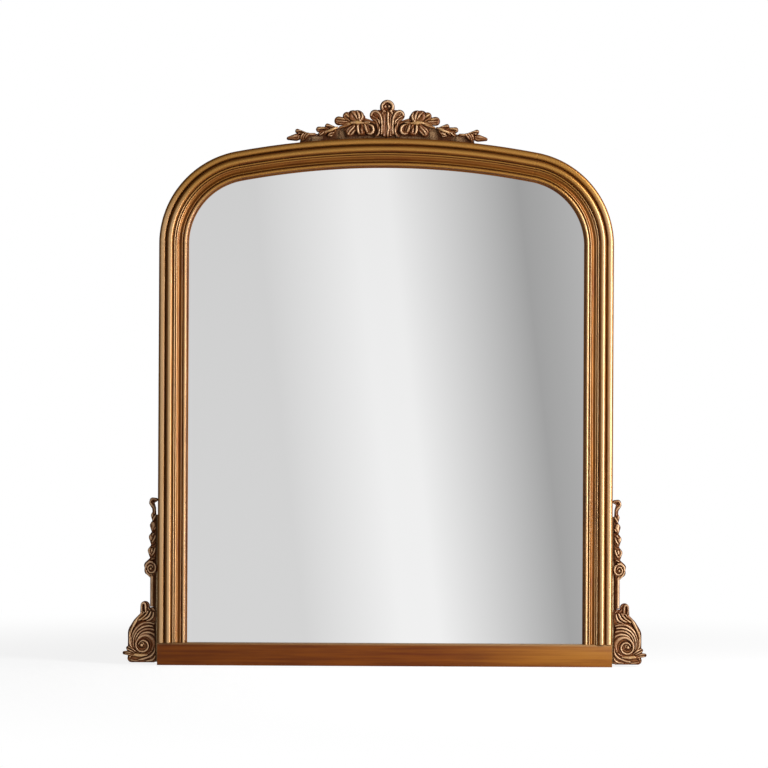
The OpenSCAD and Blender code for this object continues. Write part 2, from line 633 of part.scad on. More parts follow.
// The stem between the scroll and the drop: two reeds on a fillet
stem_u = 8.8;
stem_w = 7.4;
stem_z = [93.4, small_volute.y - small_volute_r - 0.5];
module stem() color(old_gilt) beside() translate([stem_u - stem_w / 2, -wall_gap - ground_top, stem_z[0]])
    linear_extrude(stem_z[1] - stem_z[0]) {
        translate([0, -2]) square([stem_w, 2]);
        for (i = [0, 1]) translate([stem_w * (0.25 + 0.5 * i), -2]) intersection() {
            circle(d = stem_w / 2);
            translate([-stem_w / 4, -stem_w]) square([stem_w / 2, stem_w + 1]);
        }
    }

ground_foot = 4;
module side_ground() color(bare_wood) difference() {
    beside() carved_plate(-ground_t, 0) {
        translate([glue_line, ground_foot]) square([8, husk_top - 2 * ground_foot]);
        hull() {
            translate(volute) circle(18);
            translate([20, 80]) circle(8);
            translate([glue_line, ground_foot]) square([30, 20]);
        }
        translate(small_volute) circle(small_volute_r - 2);
    }
    side_pin_row(hole_gap);
}
module side_pins() color(steel) both_sides() side_pin_row();

mirror([1, 0, 0]) stile();  // left_stile
stile();  // right_stile
mirror([1, 0, 0]) corner();  // left_corner
corner();  // right_corner
crown_rail();
base_rail();
frame_dowels();
mirror_glass();
glass_blocks();
back_panel();
panel_screws();
mirror([1, 0, 0]) hanger();  // left_hanger
hanger();  // right_hanger
mirror([1, 0, 0]) d_ring();  // left_d_ring
d_ring();  // right_d_ring
hanger_screws();
wall_bumpers();
crest_ground();
crest_palmette();
mirror([1, 0, 0]) crest_leaf();  // left_crest_leaf
crest_leaf();  // right_crest_leaf
mirror([1, 0, 0]) crest_spray();  // left_crest_spray
crest_spray();  // right_crest_spray
mirror([1, 0, 0]) crest_tip();  // left_crest_tip
crest_tip();  // right_crest_tip
crest_pins();
mirror([1, 0, 0]) side_ground();  // left_ground
side_ground();  // right_ground
mirror([1, 0, 0]) scroll();  // left_scroll
scroll();  // right_scroll
mirror([1, 0, 0]) stem();  // left_stem
stem();  // right_stem
mirror([1, 0, 0]) drop();  // left_drop
drop();  // right_drop
side_pins();
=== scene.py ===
"""Arched overmantel mirror: the finished pieces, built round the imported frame."""

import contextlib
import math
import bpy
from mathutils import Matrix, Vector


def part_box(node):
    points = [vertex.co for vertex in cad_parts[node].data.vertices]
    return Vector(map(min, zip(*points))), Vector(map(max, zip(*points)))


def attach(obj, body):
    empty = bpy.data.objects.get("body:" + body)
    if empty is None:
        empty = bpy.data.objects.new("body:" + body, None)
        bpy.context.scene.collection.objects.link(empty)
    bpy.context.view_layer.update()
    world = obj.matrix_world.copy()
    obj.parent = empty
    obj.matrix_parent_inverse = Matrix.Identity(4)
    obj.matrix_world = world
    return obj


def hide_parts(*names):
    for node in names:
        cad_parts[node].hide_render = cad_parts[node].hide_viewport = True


bl_info = {
    "name": "Arched overmantel mirror",
    "version": (1, 0, 0),
    "blender": (4, 5, 0),
    "location": "3D View > Sidebar > Mirror",
    "description": "Gilded mouldings, carving, glass, back and fixings of an arched overmantel mirror",
    "category": "Object",
}

import bmesh
import bpy
import numpy as np
from bpy.props import FloatProperty, FloatVectorProperty, PointerProperty
from mathutils import Vector

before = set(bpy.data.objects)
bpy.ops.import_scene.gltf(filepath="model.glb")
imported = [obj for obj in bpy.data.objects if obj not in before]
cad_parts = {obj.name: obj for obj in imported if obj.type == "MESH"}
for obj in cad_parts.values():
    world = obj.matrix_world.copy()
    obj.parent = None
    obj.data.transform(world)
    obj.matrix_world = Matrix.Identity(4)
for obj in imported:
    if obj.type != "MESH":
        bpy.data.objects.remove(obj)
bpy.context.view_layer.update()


# Sizes in millimetres. X is to the right, Z is up and the front faces -Y.
MM = 0.001
SIDES = {"right": 1, "left": -1}


def corners(node):
    """Lowest and highest corner of a node of the frame, in millimetres."""
    low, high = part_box(node)
    return np.array(low) / MM, np.array(high) / MM


stile_low, stile_high = corners("right_stile")
EDGE_X = stile_high[0]
WALL_GAP = -stile_high[1]
BASE_TOP = stile_low[2]
SPRING_Z = stile_high[2]
CROWN_TOP = corners("crown_rail")[1][2]
GROUND_FRONT = corners("right_ground")[0][1]
CORNER_R = 152.0
CROWN_R = 1315.0
corner_x = EDGE_X - CORNER_R
crown_z = CROWN_TOP - CROWN_R
JOINT_A = math.atan2(SPRING_Z - crown_z, corner_x)

# Spans of the crest's ground, measured out from its middle, that stay dusty.
DUSTY_SPANS = ((58, 84), (102, 130))

# The moulding's members, from the outer edge in: width, level of the foot and rise, as
# heights in front of the frame's back, and the share of dark toning along the feet. The
# cove falls below its shoulders, and a narrow quirk parts each member from the next. The
# toning fades away from a foot over SOOT_REACH. The sight edge comes last, and the rebate
# and the ledge for the panel lie behind it.
QUIRK_W = 0.8
QUIRK_DROP = 1.0
SHOULDER_DROP = 0.8
SOOT_REACH = 0.6
POINTS_PER_MM = 2.2
SIGHT_W = 2.7
LEDGE_W = 10.0
REBATE_W = 8.0
PANEL_LEVEL = 6.0
LIP_LEVEL = 14.0
SIGHT_LEVEL = 16.0
MEMBERS = {
    "outer_torus": (11.6, 22.5, 4.5, 0.75),
    "main_torus": (10.4, 26.0, 4.97, 0.75),
    "bead": (3.0, 23.5, 2.0, 0.6),
    "cove": (10.6, 24.0, -3.0, 0.2),
    "inner_torus": (6.4, 20.5, 4.0, 0.7),
}


def crown_top(x):
    """Height of the crown's outer edge at a distance from the middle."""
    return crown_z + math.sqrt(CROWN_R**2 - x**2)


def colour(red, green, blue):
    """A colour in 0 to 255 display values, as linear values."""
    shares = [c / 255 for c in (red, green, blue)]
    return tuple(c / 12.92 if c <= 0.04045 else ((c + 0.055) / 1.055) ** 2.4 for c in shares)


def grey(level):
    """A neutral colour from a display value."""
    return colour(level, level, level)


def dimmed(tone, share):
    """A colour brought down to a share of its light."""
    return tuple(share * c for c in tone)


# Settings


def tint(name, description, *display):
    """A colour setting with its default in display values."""
    return FloatVectorProperty(
        name=name,
        description=description,
        subtype="COLOR",
        size=3,
        min=0,
        max=1,
        default=colour(*display),
    )


def length(name, description, default, low, high):
    """A length setting in metres."""
    return FloatProperty(
        name=name, description=description, default=default, min=low, max=high, unit="LENGTH", precision=5
    )


def brightness(name, description, default):
    """A setting for how strong a light is."""
    return FloatProperty(name=name, description=description, default=default, min=0)


class MouldingSettings(bpy.types.PropertyGroup):
    """How the moulded members are laid out and finished."""

    run_step: length(
        "Run step", "Distance between the rings of a straight or crown member", 0.0025, 0.001, 0.02
    )
    corner_step: length(
        "Corner step", "Distance between the rings of a round corner", 0.0016, 0.001, 0.02
    )
    wave: length("Wave", "Unevenness of the gesso under the gilding", 0.00012, 0, 0.001)
    joint_shrink: FloatProperty(
        name="Joint line",
        description="Share by which the section draws in at a joint",
        default=0.003,
        min=0,
        max=0.05,
    )
    arris: length("Arris", "Rounding of the base rail's edges", 0.0007, 0, 0.003)


class CarvingSettings(bpy.types.PropertyGroup):
    """How finely the carved pieces are cut."""

    cell: length("Cell", "Width of one cell of a carved face", 0.0004, 0.0003, 0.002)
    softness: length("Softness", "Radius by which gesso and gilding soften the cuts", 0.00026, 0, 0.002)
    edge_round: length("Edge", "Rounding of a carved piece's outline", 0.0016, 0.0005, 0.004)
    crest_rise: length("Crest relief", "Highest relief of the crest", 0.0105, 0.004, 0.011)
    side_rise: length("Side relief", "Highest relief of the side carving", 0.0078, 0.003, 0.008)


class FinishSettings(bpy.types.PropertyGroup):
    """Colours of the finishes."""

    gold: tint("Gold", "Gilding of the mouldings", 156, 98, 36)
    # Painted highlight colour on the crests of the mouldings.
    pale_gold: tint("Pale gold", "Gilding rubbed thin on the high edges", 230, 190, 138)
    bole: tint("Bole", "Red clay that shows through the gilding", 110, 54, 20)
    # Painted highlight colour on the crests along the crown.
    crown_gold: tint("Crown gold", "Warmer gilding along the crown", 216, 160, 72)
    patina: tint("Patina", "Dark toning in the quirks", 84, 46, 16)
    # Also painted shade: the colour of the deepest cuts, the carving's outline and the grounds' face.
    carved_dark: tint("Carved recess", "Dark toning in the cuts of the carving", 68, 30, 10)
    carved_mid: tint("Carved gilding", "Toned gilding of the carving", 130, 80, 42)
    # Painted highlight colour on the high edges of the carving.
    carved_highlight: tint("Carved highlight", "Rubbed edges of the carving", 214, 174, 132)
    # Partly a painted highlight on bright spots of the carving.
    leaf_gold: tint("Leaf gold", "Brighter patches of the carving", 196, 150, 66)
    stain: tint("Stain", "Stained wood of the base rail", 124, 63, 8)
    stain_dark: tint("Dark stain", "Darker streaks of the base rail", 82, 32, 6)
    # Colour towards the right end of the base rail, which is lighter there.
    right_side_tone: tint("Light stain", "Thinner stain at the right of the base rail", 166, 110, 36)
    worn_stain: tint("Worn stain", "Rubbed upper edge of the base rail", 158, 124, 84)
    bare_wood: tint("Bare wood", "Wood of the back and the grounds", 170, 138, 98)
    dust: tint("Dust", "Dusty patches of the grounds under the crest", 184, 152, 112)
    # Painted light: the pale colour of the lit strip beside the stiles, on top of dust.
    pale_dust_and_light: tint("Pale dust", "Dusty strip of the grounds beside the stiles", 232, 204, 156)
    steel: tint("Steel", "Zinc plated steel", 186, 184, 178)
    felt: tint("Felt", "Felt of the wall bumpers", 92, 76, 62)
    silver: tint("Silver", "Reflection of the silvered glass", 232, 232, 232)


class StageSettings(bpy.types.PropertyGroup):
    """Camera, lamps and floor."""

    camera_distance: length("Camera distance", "From the wall plane to the camera", 6.0, 2, 20)
    view_width: length(
        "View width", "Width that the picture takes in at the frame's face", 1.2399, 0.5, 3
    )
    aim_x: length("Aim X", "Where the middle of the picture lies, to the right", -0.0031, -1, 1)
    aim_z: length("Aim Z", "Where the middle of the picture lies, in height", 0.4551, 0, 2)
    roll: FloatProperty(
        name="Roll", description="Turn of the camera", default=math.radians(0.285), unit="ROTATION"
    )
    lamp_power: brightness("Key lamp", "Power of the tall lamp on the right", 28)
    left_power: brightness("Left lamp", "Power of the tall lamp on the left", 1.5)
    fill_power: brightness("Fill lamp", "Power of the soft lamp low in front", 7)
    sky: brightness("Sky", "Level of the soft light from all round", 0.54)


SETTINGS = {
    "mirror_moulding": MouldingSettings,
    "mirror_carving": CarvingSettings,
    "mirror_finish": FinishSettings,
    "mirror_stage": StageSettings,
}


# Node trees


def maths_method(operation, swapped=False):
    """A method for a wire that adds one Math node."""

    def method(self, other):
        values = (other, self) if swapped else (self, other)
        return self.maths(operation, *values)

    return method


class Wire:
    """A socket of a node tree. Arithmetic on it adds Math nodes."""

    def __init__(self, graph, socket):
        self.graph = graph
        self.socket = socket

    def maths(self, operation, *values, clamp=False):
        """A Math node on wires or plain numbers."""
        settings = {"operation": operation, "use_clamp": clamp}
        return self.graph.node("ShaderNodeMath", settings, dict(enumerate(values)))

    __add__ = maths_method("ADD")
    __radd__ = maths_method("ADD", swapped=True)
    __sub__ = maths_method("SUBTRACT")
    __rsub__ = maths_method("SUBTRACT", swapped=True)
    __mul__ = maths_method("MULTIPLY")
    __truediv__ = maths_method("DIVIDE")
    __pow__ = maths_method("POWER")
    __lt__ = maths_method("LESS_THAN")
    __gt__ = maths_method("GREATER_THAN")
    high = maths_method("MAXIMUM")
    low = maths_method("MINIMUM")

    def __neg__(self):
        return self * -1.0

    def __abs__(self):
        return self.maths("ABSOLUTE", self)

    def clamp(self):
        """The value kept from 0 to 1."""
        return self.maths("ADD", self, 0.0, clamp=True)

    def smooth(self, start, end):
        """0 below start, 1 above end and smooth between."""
        inputs = {"Value": self, "From Min": start, "From Max": end}
        return self.graph.node("ShaderNodeMapRange", {"interpolation_type": "SMOOTHSTEP"}, inputs)


class Graph:
    """Adds nodes to a tree and joins them."""

    def __init__(self, tree):
        self.tree = tree

    def node(self, kind, settings=None, inputs=None, output=0):
        """Any node: its settings first, then the values or links of its sockets."""
        made = self.tree.nodes.new(kind)
        for name, value in (settings or {}).items():
            setattr(made, name, value)
        for key, value in (inputs or {}).items():
            if isinstance(value, Wire):
                self.tree.links.new(value.socket, made.inputs[key])
            else:
                made.inputs[key].default_value = value
        return Wire(self, made.outputs[output]) if len(made.outputs) else made

    def ramp(self, stops, share):
        """A colour read along stops of (place, colour)."""
        wire = self.node("ShaderNodeValToRGB", {}, {"Fac": share})
        elements = wire.socket.node.color_ramp.elements
        elements[0].position, elements[-1].position = stops[0][0], stops[-1][0]
        for place, tone in stops[1:-1]:
            elements.new(place)
        for element, (place, tone) in zip(elements, stops):
            element.color = (*tone, 1)
        return wire

    def mix(self, share, a, b):
        """A colour between two colours."""
        a, b = [(*c, 1) if isinstance(c, tuple) else c for c in (a, b)]
        return self.node("ShaderNodeMix", {"data_type": "RGBA"}, {0: share, 6: a, 7: b}, output=2)

    def axes(self, place):
        """The three coordinates of a point."""
        x = self.node("ShaderNodeSeparateXYZ", {}, {0: place})
        return x, self.also(x, 1), self.also(x, 2)

    def even(self, level):
        """The same value for red, green and blue."""
        return self.node("ShaderNodeCombineColor", {}, dict.fromkeys(range(3), level))

    def also(self, wire, output):
        """Another output of the node that a wire comes from."""
        return Wire(self, wire.socket.node.outputs[output])


class Finish(Graph):
    """A material with one Principled shader."""

    def __init__(self, name):
        self.material = bpy.data.materials.new(name)
        self.material.use_nodes = True
        super().__init__(self.material.node_tree)
        self.tree.nodes.clear()
        self.place = self.node("ShaderNodeTexCoord", output="Object")

    def attribute(self, name):
        """A value that the mesh keeps at its points."""
        return self.node("ShaderNodeAttribute", {"attribute_name": name}, output="Fac")

    def stretch(self, *scale):
        """Object coordinates, each times its own scale."""
        return self.node("ShaderNodeMapping", {}, {"Vector": self.place, "Scale": scale})

    def noise(self, place, scale, detail, roughness=0.55):
        """Noise from 0 to 1."""
        inputs = {"Vector": place, "Scale": scale, "Detail": detail, "Roughness": roughness}
        return self.node("ShaderNodeTexNoise", {}, inputs)

    def bump(self, height, distance, strength):
        """Normals that follow a height."""
        inputs = {"Height": height, "Distance": distance, "Strength": strength}
        return self.node("ShaderNodeBump", {}, inputs)

    def close(self, **inputs):
        """Ends the tree in a Principled shader and gives the material."""
        named = {key.replace("_", " "): value for key, value in inputs.items()}
        shader = self.node("ShaderNodeBsdfPrincipled", {}, named)
        self.node("ShaderNodeOutputMaterial", {}, {"Surface": shader})
        return self.material


# Materials


def gilding(finish):
    """Water gilding on red bole: streaks along the run, painted highlights on the crests, bole rubbed
    through and dark quirks.
    """
    f = Finish("gilding")
    kept = ("across", "along", "rub", "grime", "bare")
    across, run, rub, grime, bare = [f.attribute(name) for name in kept]
    brushed = f.node("ShaderNodeCombineXYZ", {}, {0: across * 0.9, 1: run * 0.012, 2: 0.0})
    cloudy = f.node("ShaderNodeCombineXYZ", {}, {0: across * 0.16, 1: run * 0.011, 2: 3.0})
    streaks = f.noise(brushed, 1.0, 5.0, 0.6)
    clouds = f.noise(cloudy, 1.0, 3.0)
    specks = f.noise(f.place, 900.0, 2.0, 0.7)
    tone = f.mix(streaks.smooth(0.35, 0.68), finish.gold, dimmed(finish.gold, 0.62))
    tone = f.mix(clouds.smooth(0.48, 0.72) * 0.75, tone, finish.bole)
    # Painted highlight: the crest of each member is laid in pale gold, warmer along the crown.
    crest = (rub + streaks * 0.5 - 0.25).smooth(0.5, 1.0)
    crown = f.axes(f.place)[2].smooth((SPRING_Z + 20) * MM, (SPRING_Z + 110) * MM)
    tone = f.mix(crest * 0.65, tone, f.mix(crown * 0.9, finish.pale_gold, finish.crown_gold))
    worn = specks.smooth(0.66, 0.75) * rub.smooth(0.5, 1.0)
    tone = f.mix(worn * 0.7, tone, finish.bole)
    dark = (grime + clouds * 0.5 - 0.25).smooth(0.3, 0.95)
    tone = f.mix(dark * 0.75, tone, finish.patina)
    reddened = f.mix(streaks.smooth(0.3, 0.7), finish.bole, dimmed(finish.bole, 0.5))
    tone = f.mix(crown * 0.3, tone, reddened)
    tone = f.mix(bare, tone, wood_grain(f, finish.bare_wood))
    shiny = (1 - dark * 0.75) * (1 - bare)
    return f.close(
        Base_Color=tone,
        Metallic=shiny * 0.6,
        Roughness=0.34 + dark * 0.25 + bare * 0.25 - crest * 0.08 + (streaks - 0.5) * 0.12,
        Specular_IOR_Level=0.1,
        Coat_Weight=shiny * (1 - crown * 0.75) * 0.45,
        Coat_Roughness=0.16,
        Normal=f.bump(streaks * 0.5 + specks * 0.5, 0.00008, 0.5),
    )


def carved_gilding(finish):
    """Toned gilding of the carving: painted shade over dark toning in the cuts, brown flanks and painted
    highlights on the high edges.
    """
    f = Finish("carved_gilding")
    tone, gold = f.attribute("tone"), f.attribute("gold")
    mottle = f.noise(f.place, 210.0, 4.0, 0.65)
    patches = f.noise(f.stretch(70, 70, 70), 1.0, 2.0)
    specks = f.noise(f.place, 1100.0, 2.0, 0.7)
    level = tone + (mottle - 0.5) * 0.3 + (specks - 0.5) * 0.12
    half_lit = tuple(0.5 * (a + b) for a, b in zip(finish.carved_mid, finish.carved_highlight))
    stops = [
        (0.0, finish.carved_dark),
        (0.22, dimmed(finish.carved_mid, 0.45)),
        (0.4, dimmed(finish.carved_mid, 0.74)),
        (0.58, finish.carved_mid),
        (0.8, half_lit),
        (1.0, finish.carved_highlight),
    ]
    ramp = f.ramp(stops, level)
    tinted = f.mix(patches.smooth(0.48, 0.66) * 0.5, ramp, finish.bole)
    # Painted highlight: where the tone is high, the colour goes to the highlight colour.
    rubbed = level.smooth(0.62, 0.95) * (1 - patches.smooth(0.3, 0.7) * 0.6)
    lit = f.mix(rubbed, tinted, finish.carved_highlight)
    # Yellower gilding where the gold attribute is set: partly a painted highlight on the bright spots.
    yellow = f.mix(level.smooth(0.35, 0.85), dimmed(finish.leaf_gold, 0.35), finish.leaf_gold)
    lit = f.mix(gold * mottle.smooth(0.3, 0.6) * 0.75, lit, yellow)
    shine = level.smooth(0.3, 0.8)
    return f.close(
        Base_Color=lit,
        Metallic=shine * 0.3,
        Roughness=0.46 - shine * 0.12,
        Specular_IOR_Level=0.15,
        Coat_Weight=shine * 0.5,
        Coat_Roughness=0.2,
        Normal=f.bump(mottle * 0.4 + specks * 0.6, 0.0001, 0.5),
    )


def wood_grain(f, wood):
    """The colour of bare wood with its grain along X."""
    bend = f.noise(f.stretch(2.0, 8, 10), 1.0, 2.0)
    rings = f.noise(f.stretch(3, 30, 55), 1.0, 4.0, 0.65)
    pores = f.noise(f.stretch(14, 60, 160), 4.0, 3.0, 0.7)
    tone = f.mix(rings.smooth(0.35, 0.7) * 0.5 + bend * 0.4, wood, dimmed(wood, 0.62))
    return f.mix(pores.smooth(0.6, 0.8) * 0.5, tone, dimmed(wood, 0.4))


def stained_wood(finish):
    """The base rail: stained and waxed, darker at the left and middle, worn on its bevel."""
    f = Finish("stained_wood")
    x, y, z = f.axes(f.place)
    grain = f.noise(f.stretch(5, 30, 170), 1.0, 5.0, 0.6)
    clouds = f.noise(f.stretch(5, 5, 9), 1.0, 2.0)
    fine = f.noise(f.stretch(60, 400, 900), 1.0, 2.0, 0.6)
    right = x.smooth(0.05, 0.36)
    darker = grain.smooth(0.38, 0.66) * 0.65 + clouds.smooth(0.45, 0.75) * 0.3
    tone = f.mix(darker, finish.stain, finish.stain_dark)
    # Lighter towards the right of the rail.
    lighter = f.mix(grain.smooth(0.36, 0.66) * 0.6, finish.right_side_tone, finish.stain)
    tone = f.mix(right * 0.75, tone, lighter)
    edge = z.smooth((BASE_TOP - 3.4) * MM, (BASE_TOP - 1.2) * MM)
    front = y.smooth((-WALL_GAP - 18) * MM, (-WALL_GAP - 22) * MM)
    tone = f.mix(edge * front * (0.4 + clouds * 0.5), tone, finish.worn_stain)
    # Darker along the rail's bottom 3 mm.
    foot = 1 - z.smooth(0.0, 0.003)
    tone = f.mix(foot * 0.5, tone, finish.stain_dark)
    tone = f.mix(1 - front, tone, wood_grain(f, finish.bare_wood))
    return f.close(
        Base_Color=tone,
        Roughness=0.46 + grain * 0.12 - front * 0.1,
        Specular_IOR_Level=0.12,
        Coat_Weight=front * 0.08,
        Coat_Roughness=0.2,
        Normal=f.bump(grain * 0.6 + fine * 0.4, 0.00012, 0.5),
    )


def dusty_wood(finish):
    """The grounds: dark toning with painted shade in front, dust on the proud blocks, a pale strip of
    painted light and dust by the frame, bare behind.
    """
    f = Finish("dusty_wood")
    x, y, z = f.axes(f.place)
    out = abs(x)
    face = y.smooth((GROUND_FRONT + 1.2) * MM, (GROUND_FRONT + 0.1) * MM)
    proud = y.smooth((GROUND_FRONT - 0.7) * MM, (GROUND_FRONT - 1.2) * MM)
    dust = f.noise(f.place, 900.0, 3.0, 0.7)
    lumps = f.noise(f.place, 1100.0, 2.0, 0.6)
    stains = f.noise(f.place, 45.0, 3.0)
    rise = z - crown_z * MM
    crown_gap = ((x * x + rise * rise) ** 0.5 - CROWN_R * MM) * (z > (SPRING_Z + 60) * MM)
    strip = crown_gap.smooth(0.4 * MM, 1.2 * MM) * (1 - crown_gap.smooth(3.2 * MM, 4.6 * MM))
    strip = strip * (out < 66 * MM)
    # The strip beside the stiles is painted light on top of dust, fading above 0.13 m.
    mottled = (0.35 + dust.smooth(0.35, 0.6) * 0.65) * (1 - z.smooth(0.13, 0.18) * 0.7)
    beside = out.smooth((EDGE_X - 1) * MM, EDGE_X * MM)
    side = mottled * beside * (1 - out.smooth((EDGE_X + 2.4) * MM, (EDGE_X + 3.2) * MM))
    # The face of the ground is dark: toning, and painted shade.
    toned = f.mix(lumps.smooth(0.38, 0.62), finish.carved_dark, dimmed(finish.carved_mid, 0.6))
    powder = f.mix(dust.smooth(0.3, 0.6), finish.carved_mid, finish.dust)
    dusty = f.mix(lumps.smooth(0.36, 0.6), finish.carved_dark, powder)
    inner, outer = [
        out.smooth(a * MM, (a + 6) * MM) * (1 - out.smooth((b - 6) * MM, b * MM)) for a, b in DUSTY_SPANS
    ]
    blocks = inner.high(outer) * (dust * 0.8 + 0.2)
    pale = proud.high(strip * 0.7).high(blocks) * (1 - stains.smooth(0.5, 0.7) * 0.3)
    gritty = f.mix(pale.clamp(), toned, dusty)
    tone = f.mix(face, wood_grain(f, finish.bare_wood), f.mix(side, gritty, finish.pale_dust_and_light))
    return f.close(
        Base_Color=tone,
        Roughness=0.68 + dust * 0.15,
        Specular_IOR_Level=0.2,
        Normal=f.bump(lumps, 0.0005, 0.7),
    )


def back_wood(finish):
    """Bare wood of the back panel, blocks and dowels."""
    f = Finish("back_wood")
    tone = wood_grain(f, dimmed(finish.bare_wood, 0.82))
    age = f.noise(f.stretch(6, 6, 6), 1.0, 4.0)
    tone = f.mix(age.smooth(0.4, 0.75) * 0.5, tone, dimmed(finish.bare_wood, 0.45))
    fibres = f.noise(f.stretch(40, 400, 700), 1.0, 3.0, 0.6)
    return f.close(Base_Color=tone, Roughness=0.62 + age * 0.15, Normal=f.bump(fibres, 0.0002, 0.5))


def silvered_glass(finish):
    """Mirror plate: silver seen from the front, grey paint behind."""
    f = Finish("mirror_plate")
    y = f.axes(f.place)[1]
    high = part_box("mirror_glass")[1]
    painted = y.smooth(high.y - 0.0006, high.y - 0.0002)
    tone = f.mix(painted, finish.silver, colour(96, 100, 98))
    return f.close(Base_Color=tone, Metallic=1 - painted, Roughness=0.004 + painted * 0.6)


def zinc(finish):
    """Zinc plated steel, dulled and finely scratched."""
    f = Finish("zinc")
    scratches = f.noise(f.stretch(300, 300, 2200), 1.0, 3.0, 0.6)
    blooms = f.noise(f.place, 260.0, 4.0, 0.6)
    tone = f.mix(blooms.smooth(0.45, 0.75) * 0.6, finish.steel, dimmed(finish.steel, 0.5))
    rust = f.noise(f.place, 700.0, 3.0, 0.7).smooth(0.68, 0.8)
    tone = f.mix(rust * 0.6, tone, colour(120, 78, 46))
    return f.close(
        Base_Color=tone,
        Metallic=1 - rust * 0.7,
        Roughness=0.28 + blooms * 0.25 + rust * 0.3,
        Normal=f.bump(scratches, 0.00004, 0.4),
    )


def pressed_felt(finish):
    """Felt with a short, uneven nap."""
    f = Finish("pressed_felt")
    nap = f.noise(f.place, 2400.0, 3.0, 0.7)
    clumps = f.noise(f.place, 500.0, 3.0)
    tone = f.mix(nap * 0.7 + clumps * 0.3, finish.felt, dimmed(finish.felt, 0.45))
    return f.close(
        Base_Color=tone,
        Roughness=0.95,
        Sheen_Weight=0.4,
        Sheen_Roughness=0.5,
        Normal=f.bump(nap, 0.0004, 0.8),
    )


def finish_of(name):
    """A finish by its name, made once."""
    makers = {
        "gilding": gilding,
        "carved_gilding": carved_gilding,
        "stained_wood": stained_wood,
        "dusty_wood": dusty_wood,
        "back_wood": back_wood,
        "mirror_plate": silvered_glass,
        "zinc": zinc,
        "pressed_felt": pressed_felt,
    }
    found = bpy.data.materials.get(name)
    return found or makers[name](Tints(bpy.context.scene.mirror_finish))


class Tints:
    """The colour settings as plain tuples."""

    def __init__(self, settings):
        for name in settings.__annotations__:
            setattr(self, name, tuple(getattr(settings, name)))


# Meshes

# Points of a CAD mesh that lie closer than this are one point.
SAME_SPOT = 1e-6


def show(name, mesh):
    """An object at the origin that holds a mesh."""
    made = bpy.data.objects.new(name, mesh)
    bpy.context.scene.collection.objects.link(made)
    return made


def place_piece(piece, nodes, material, body="root"):
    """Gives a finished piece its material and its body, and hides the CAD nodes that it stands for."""
    piece.data.materials.clear()
    piece.data.materials.append(finish_of(material))
    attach(piece, body)
    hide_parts(*nodes)


def mesh_of(name, points, faces):
    """A mesh from points in millimetres and faces."""
    mesh = bpy.data.meshes.new(name)
    mesh.from_pydata((np.asarray(points) * MM).tolist(), [], [list(map(int, f)) for f in faces])
    mesh.update()
    return mesh


def set_attribute(mesh, name, values):
    """Keeps a number for each point of a mesh."""
    mesh.attributes.new(name, "FLOAT", "POINT").data.foreach_set("value", np.asarray(values, np.float32))


@contextlib.contextmanager
def opened(mesh):
    """A mesh opened for editing and written back at the end."""
    work = bmesh.new()
    work.from_mesh(mesh)
    yield work
    work.to_mesh(mesh)
    work.free()


def shade(mesh, angle=40):
    """Smooth faces that meet in sharp edges past an angle."""
    limit = math.radians(angle)
    with opened(mesh) as work:
        for face in work.faces:
            face.smooth = True
        for edge in work.edges:
            edge.smooth = len(edge.link_faces) == 2 and edge.calc_face_angle(0) < limit


def outward_faces(mesh):
    """Turns the faces of a closed mesh outwards."""
    with opened(mesh) as work:
        bmesh.ops.recalc_face_normals(work, faces=work.faces)


def apply_modifiers(piece):
    """Turns an object and its modifiers into one plain mesh."""
    graph = bpy.context.evaluated_depsgraph_get()
    mesh = bpy.data.meshes.new_from_object(piece.evaluated_get(graph))
    piece.modifiers.clear()
    piece.data = mesh
    return piece


def worked_copy(node, name, arris):
    """A CAD node's shape as one closed mesh, with its sharp edges rounded off."""
    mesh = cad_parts[node].data.copy()
    mesh.name = name
    with opened(mesh) as work:
        bmesh.ops.remove_doubles(work, verts=work.verts, dist=SAME_SPOT)
        flat = math.radians(0.5)
        bmesh.ops.dissolve_limit(work, angle_limit=flat, verts=work.verts, edges=work.edges)
    piece = show(name, mesh)
    bevel = piece.modifiers.new("arris", "BEVEL")
    bevel.width = arris
    bevel.segments = 2
    bevel.limit_method = "ANGLE"
    bevel.angle_limit = math.radians(40)
    bevel.use_clamp_overlap = True
    apply_modifiers(piece)
    shade(piece.data)
    return piece


def islands(node):
    """Both corners of the box of each separate solid of a node, in millimetres, from left to right."""
    work = bmesh.new()
    work.from_mesh(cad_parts[node].data)
    bmesh.ops.remove_doubles(work, verts=work.verts, dist=SAME_SPOT)
    work.verts.ensure_lookup_table()
    left, found = set(work.verts), []
    while left:
        front, group = [left.pop()], []
        while front:
            vert = front.pop()
            group.append(vert.co / MM)
            for edge in vert.link_edges:
                other = edge.other_vert(vert)
                if other in left:
                    left.remove(other)
                    front.append(other)
        points = np.array(group)
        found.append((points.min(axis=0), points.max(axis=0)))
    work.free()
    return sorted(found, key=lambda box: tuple(box[0].round(2)))


# Geometry Nodes


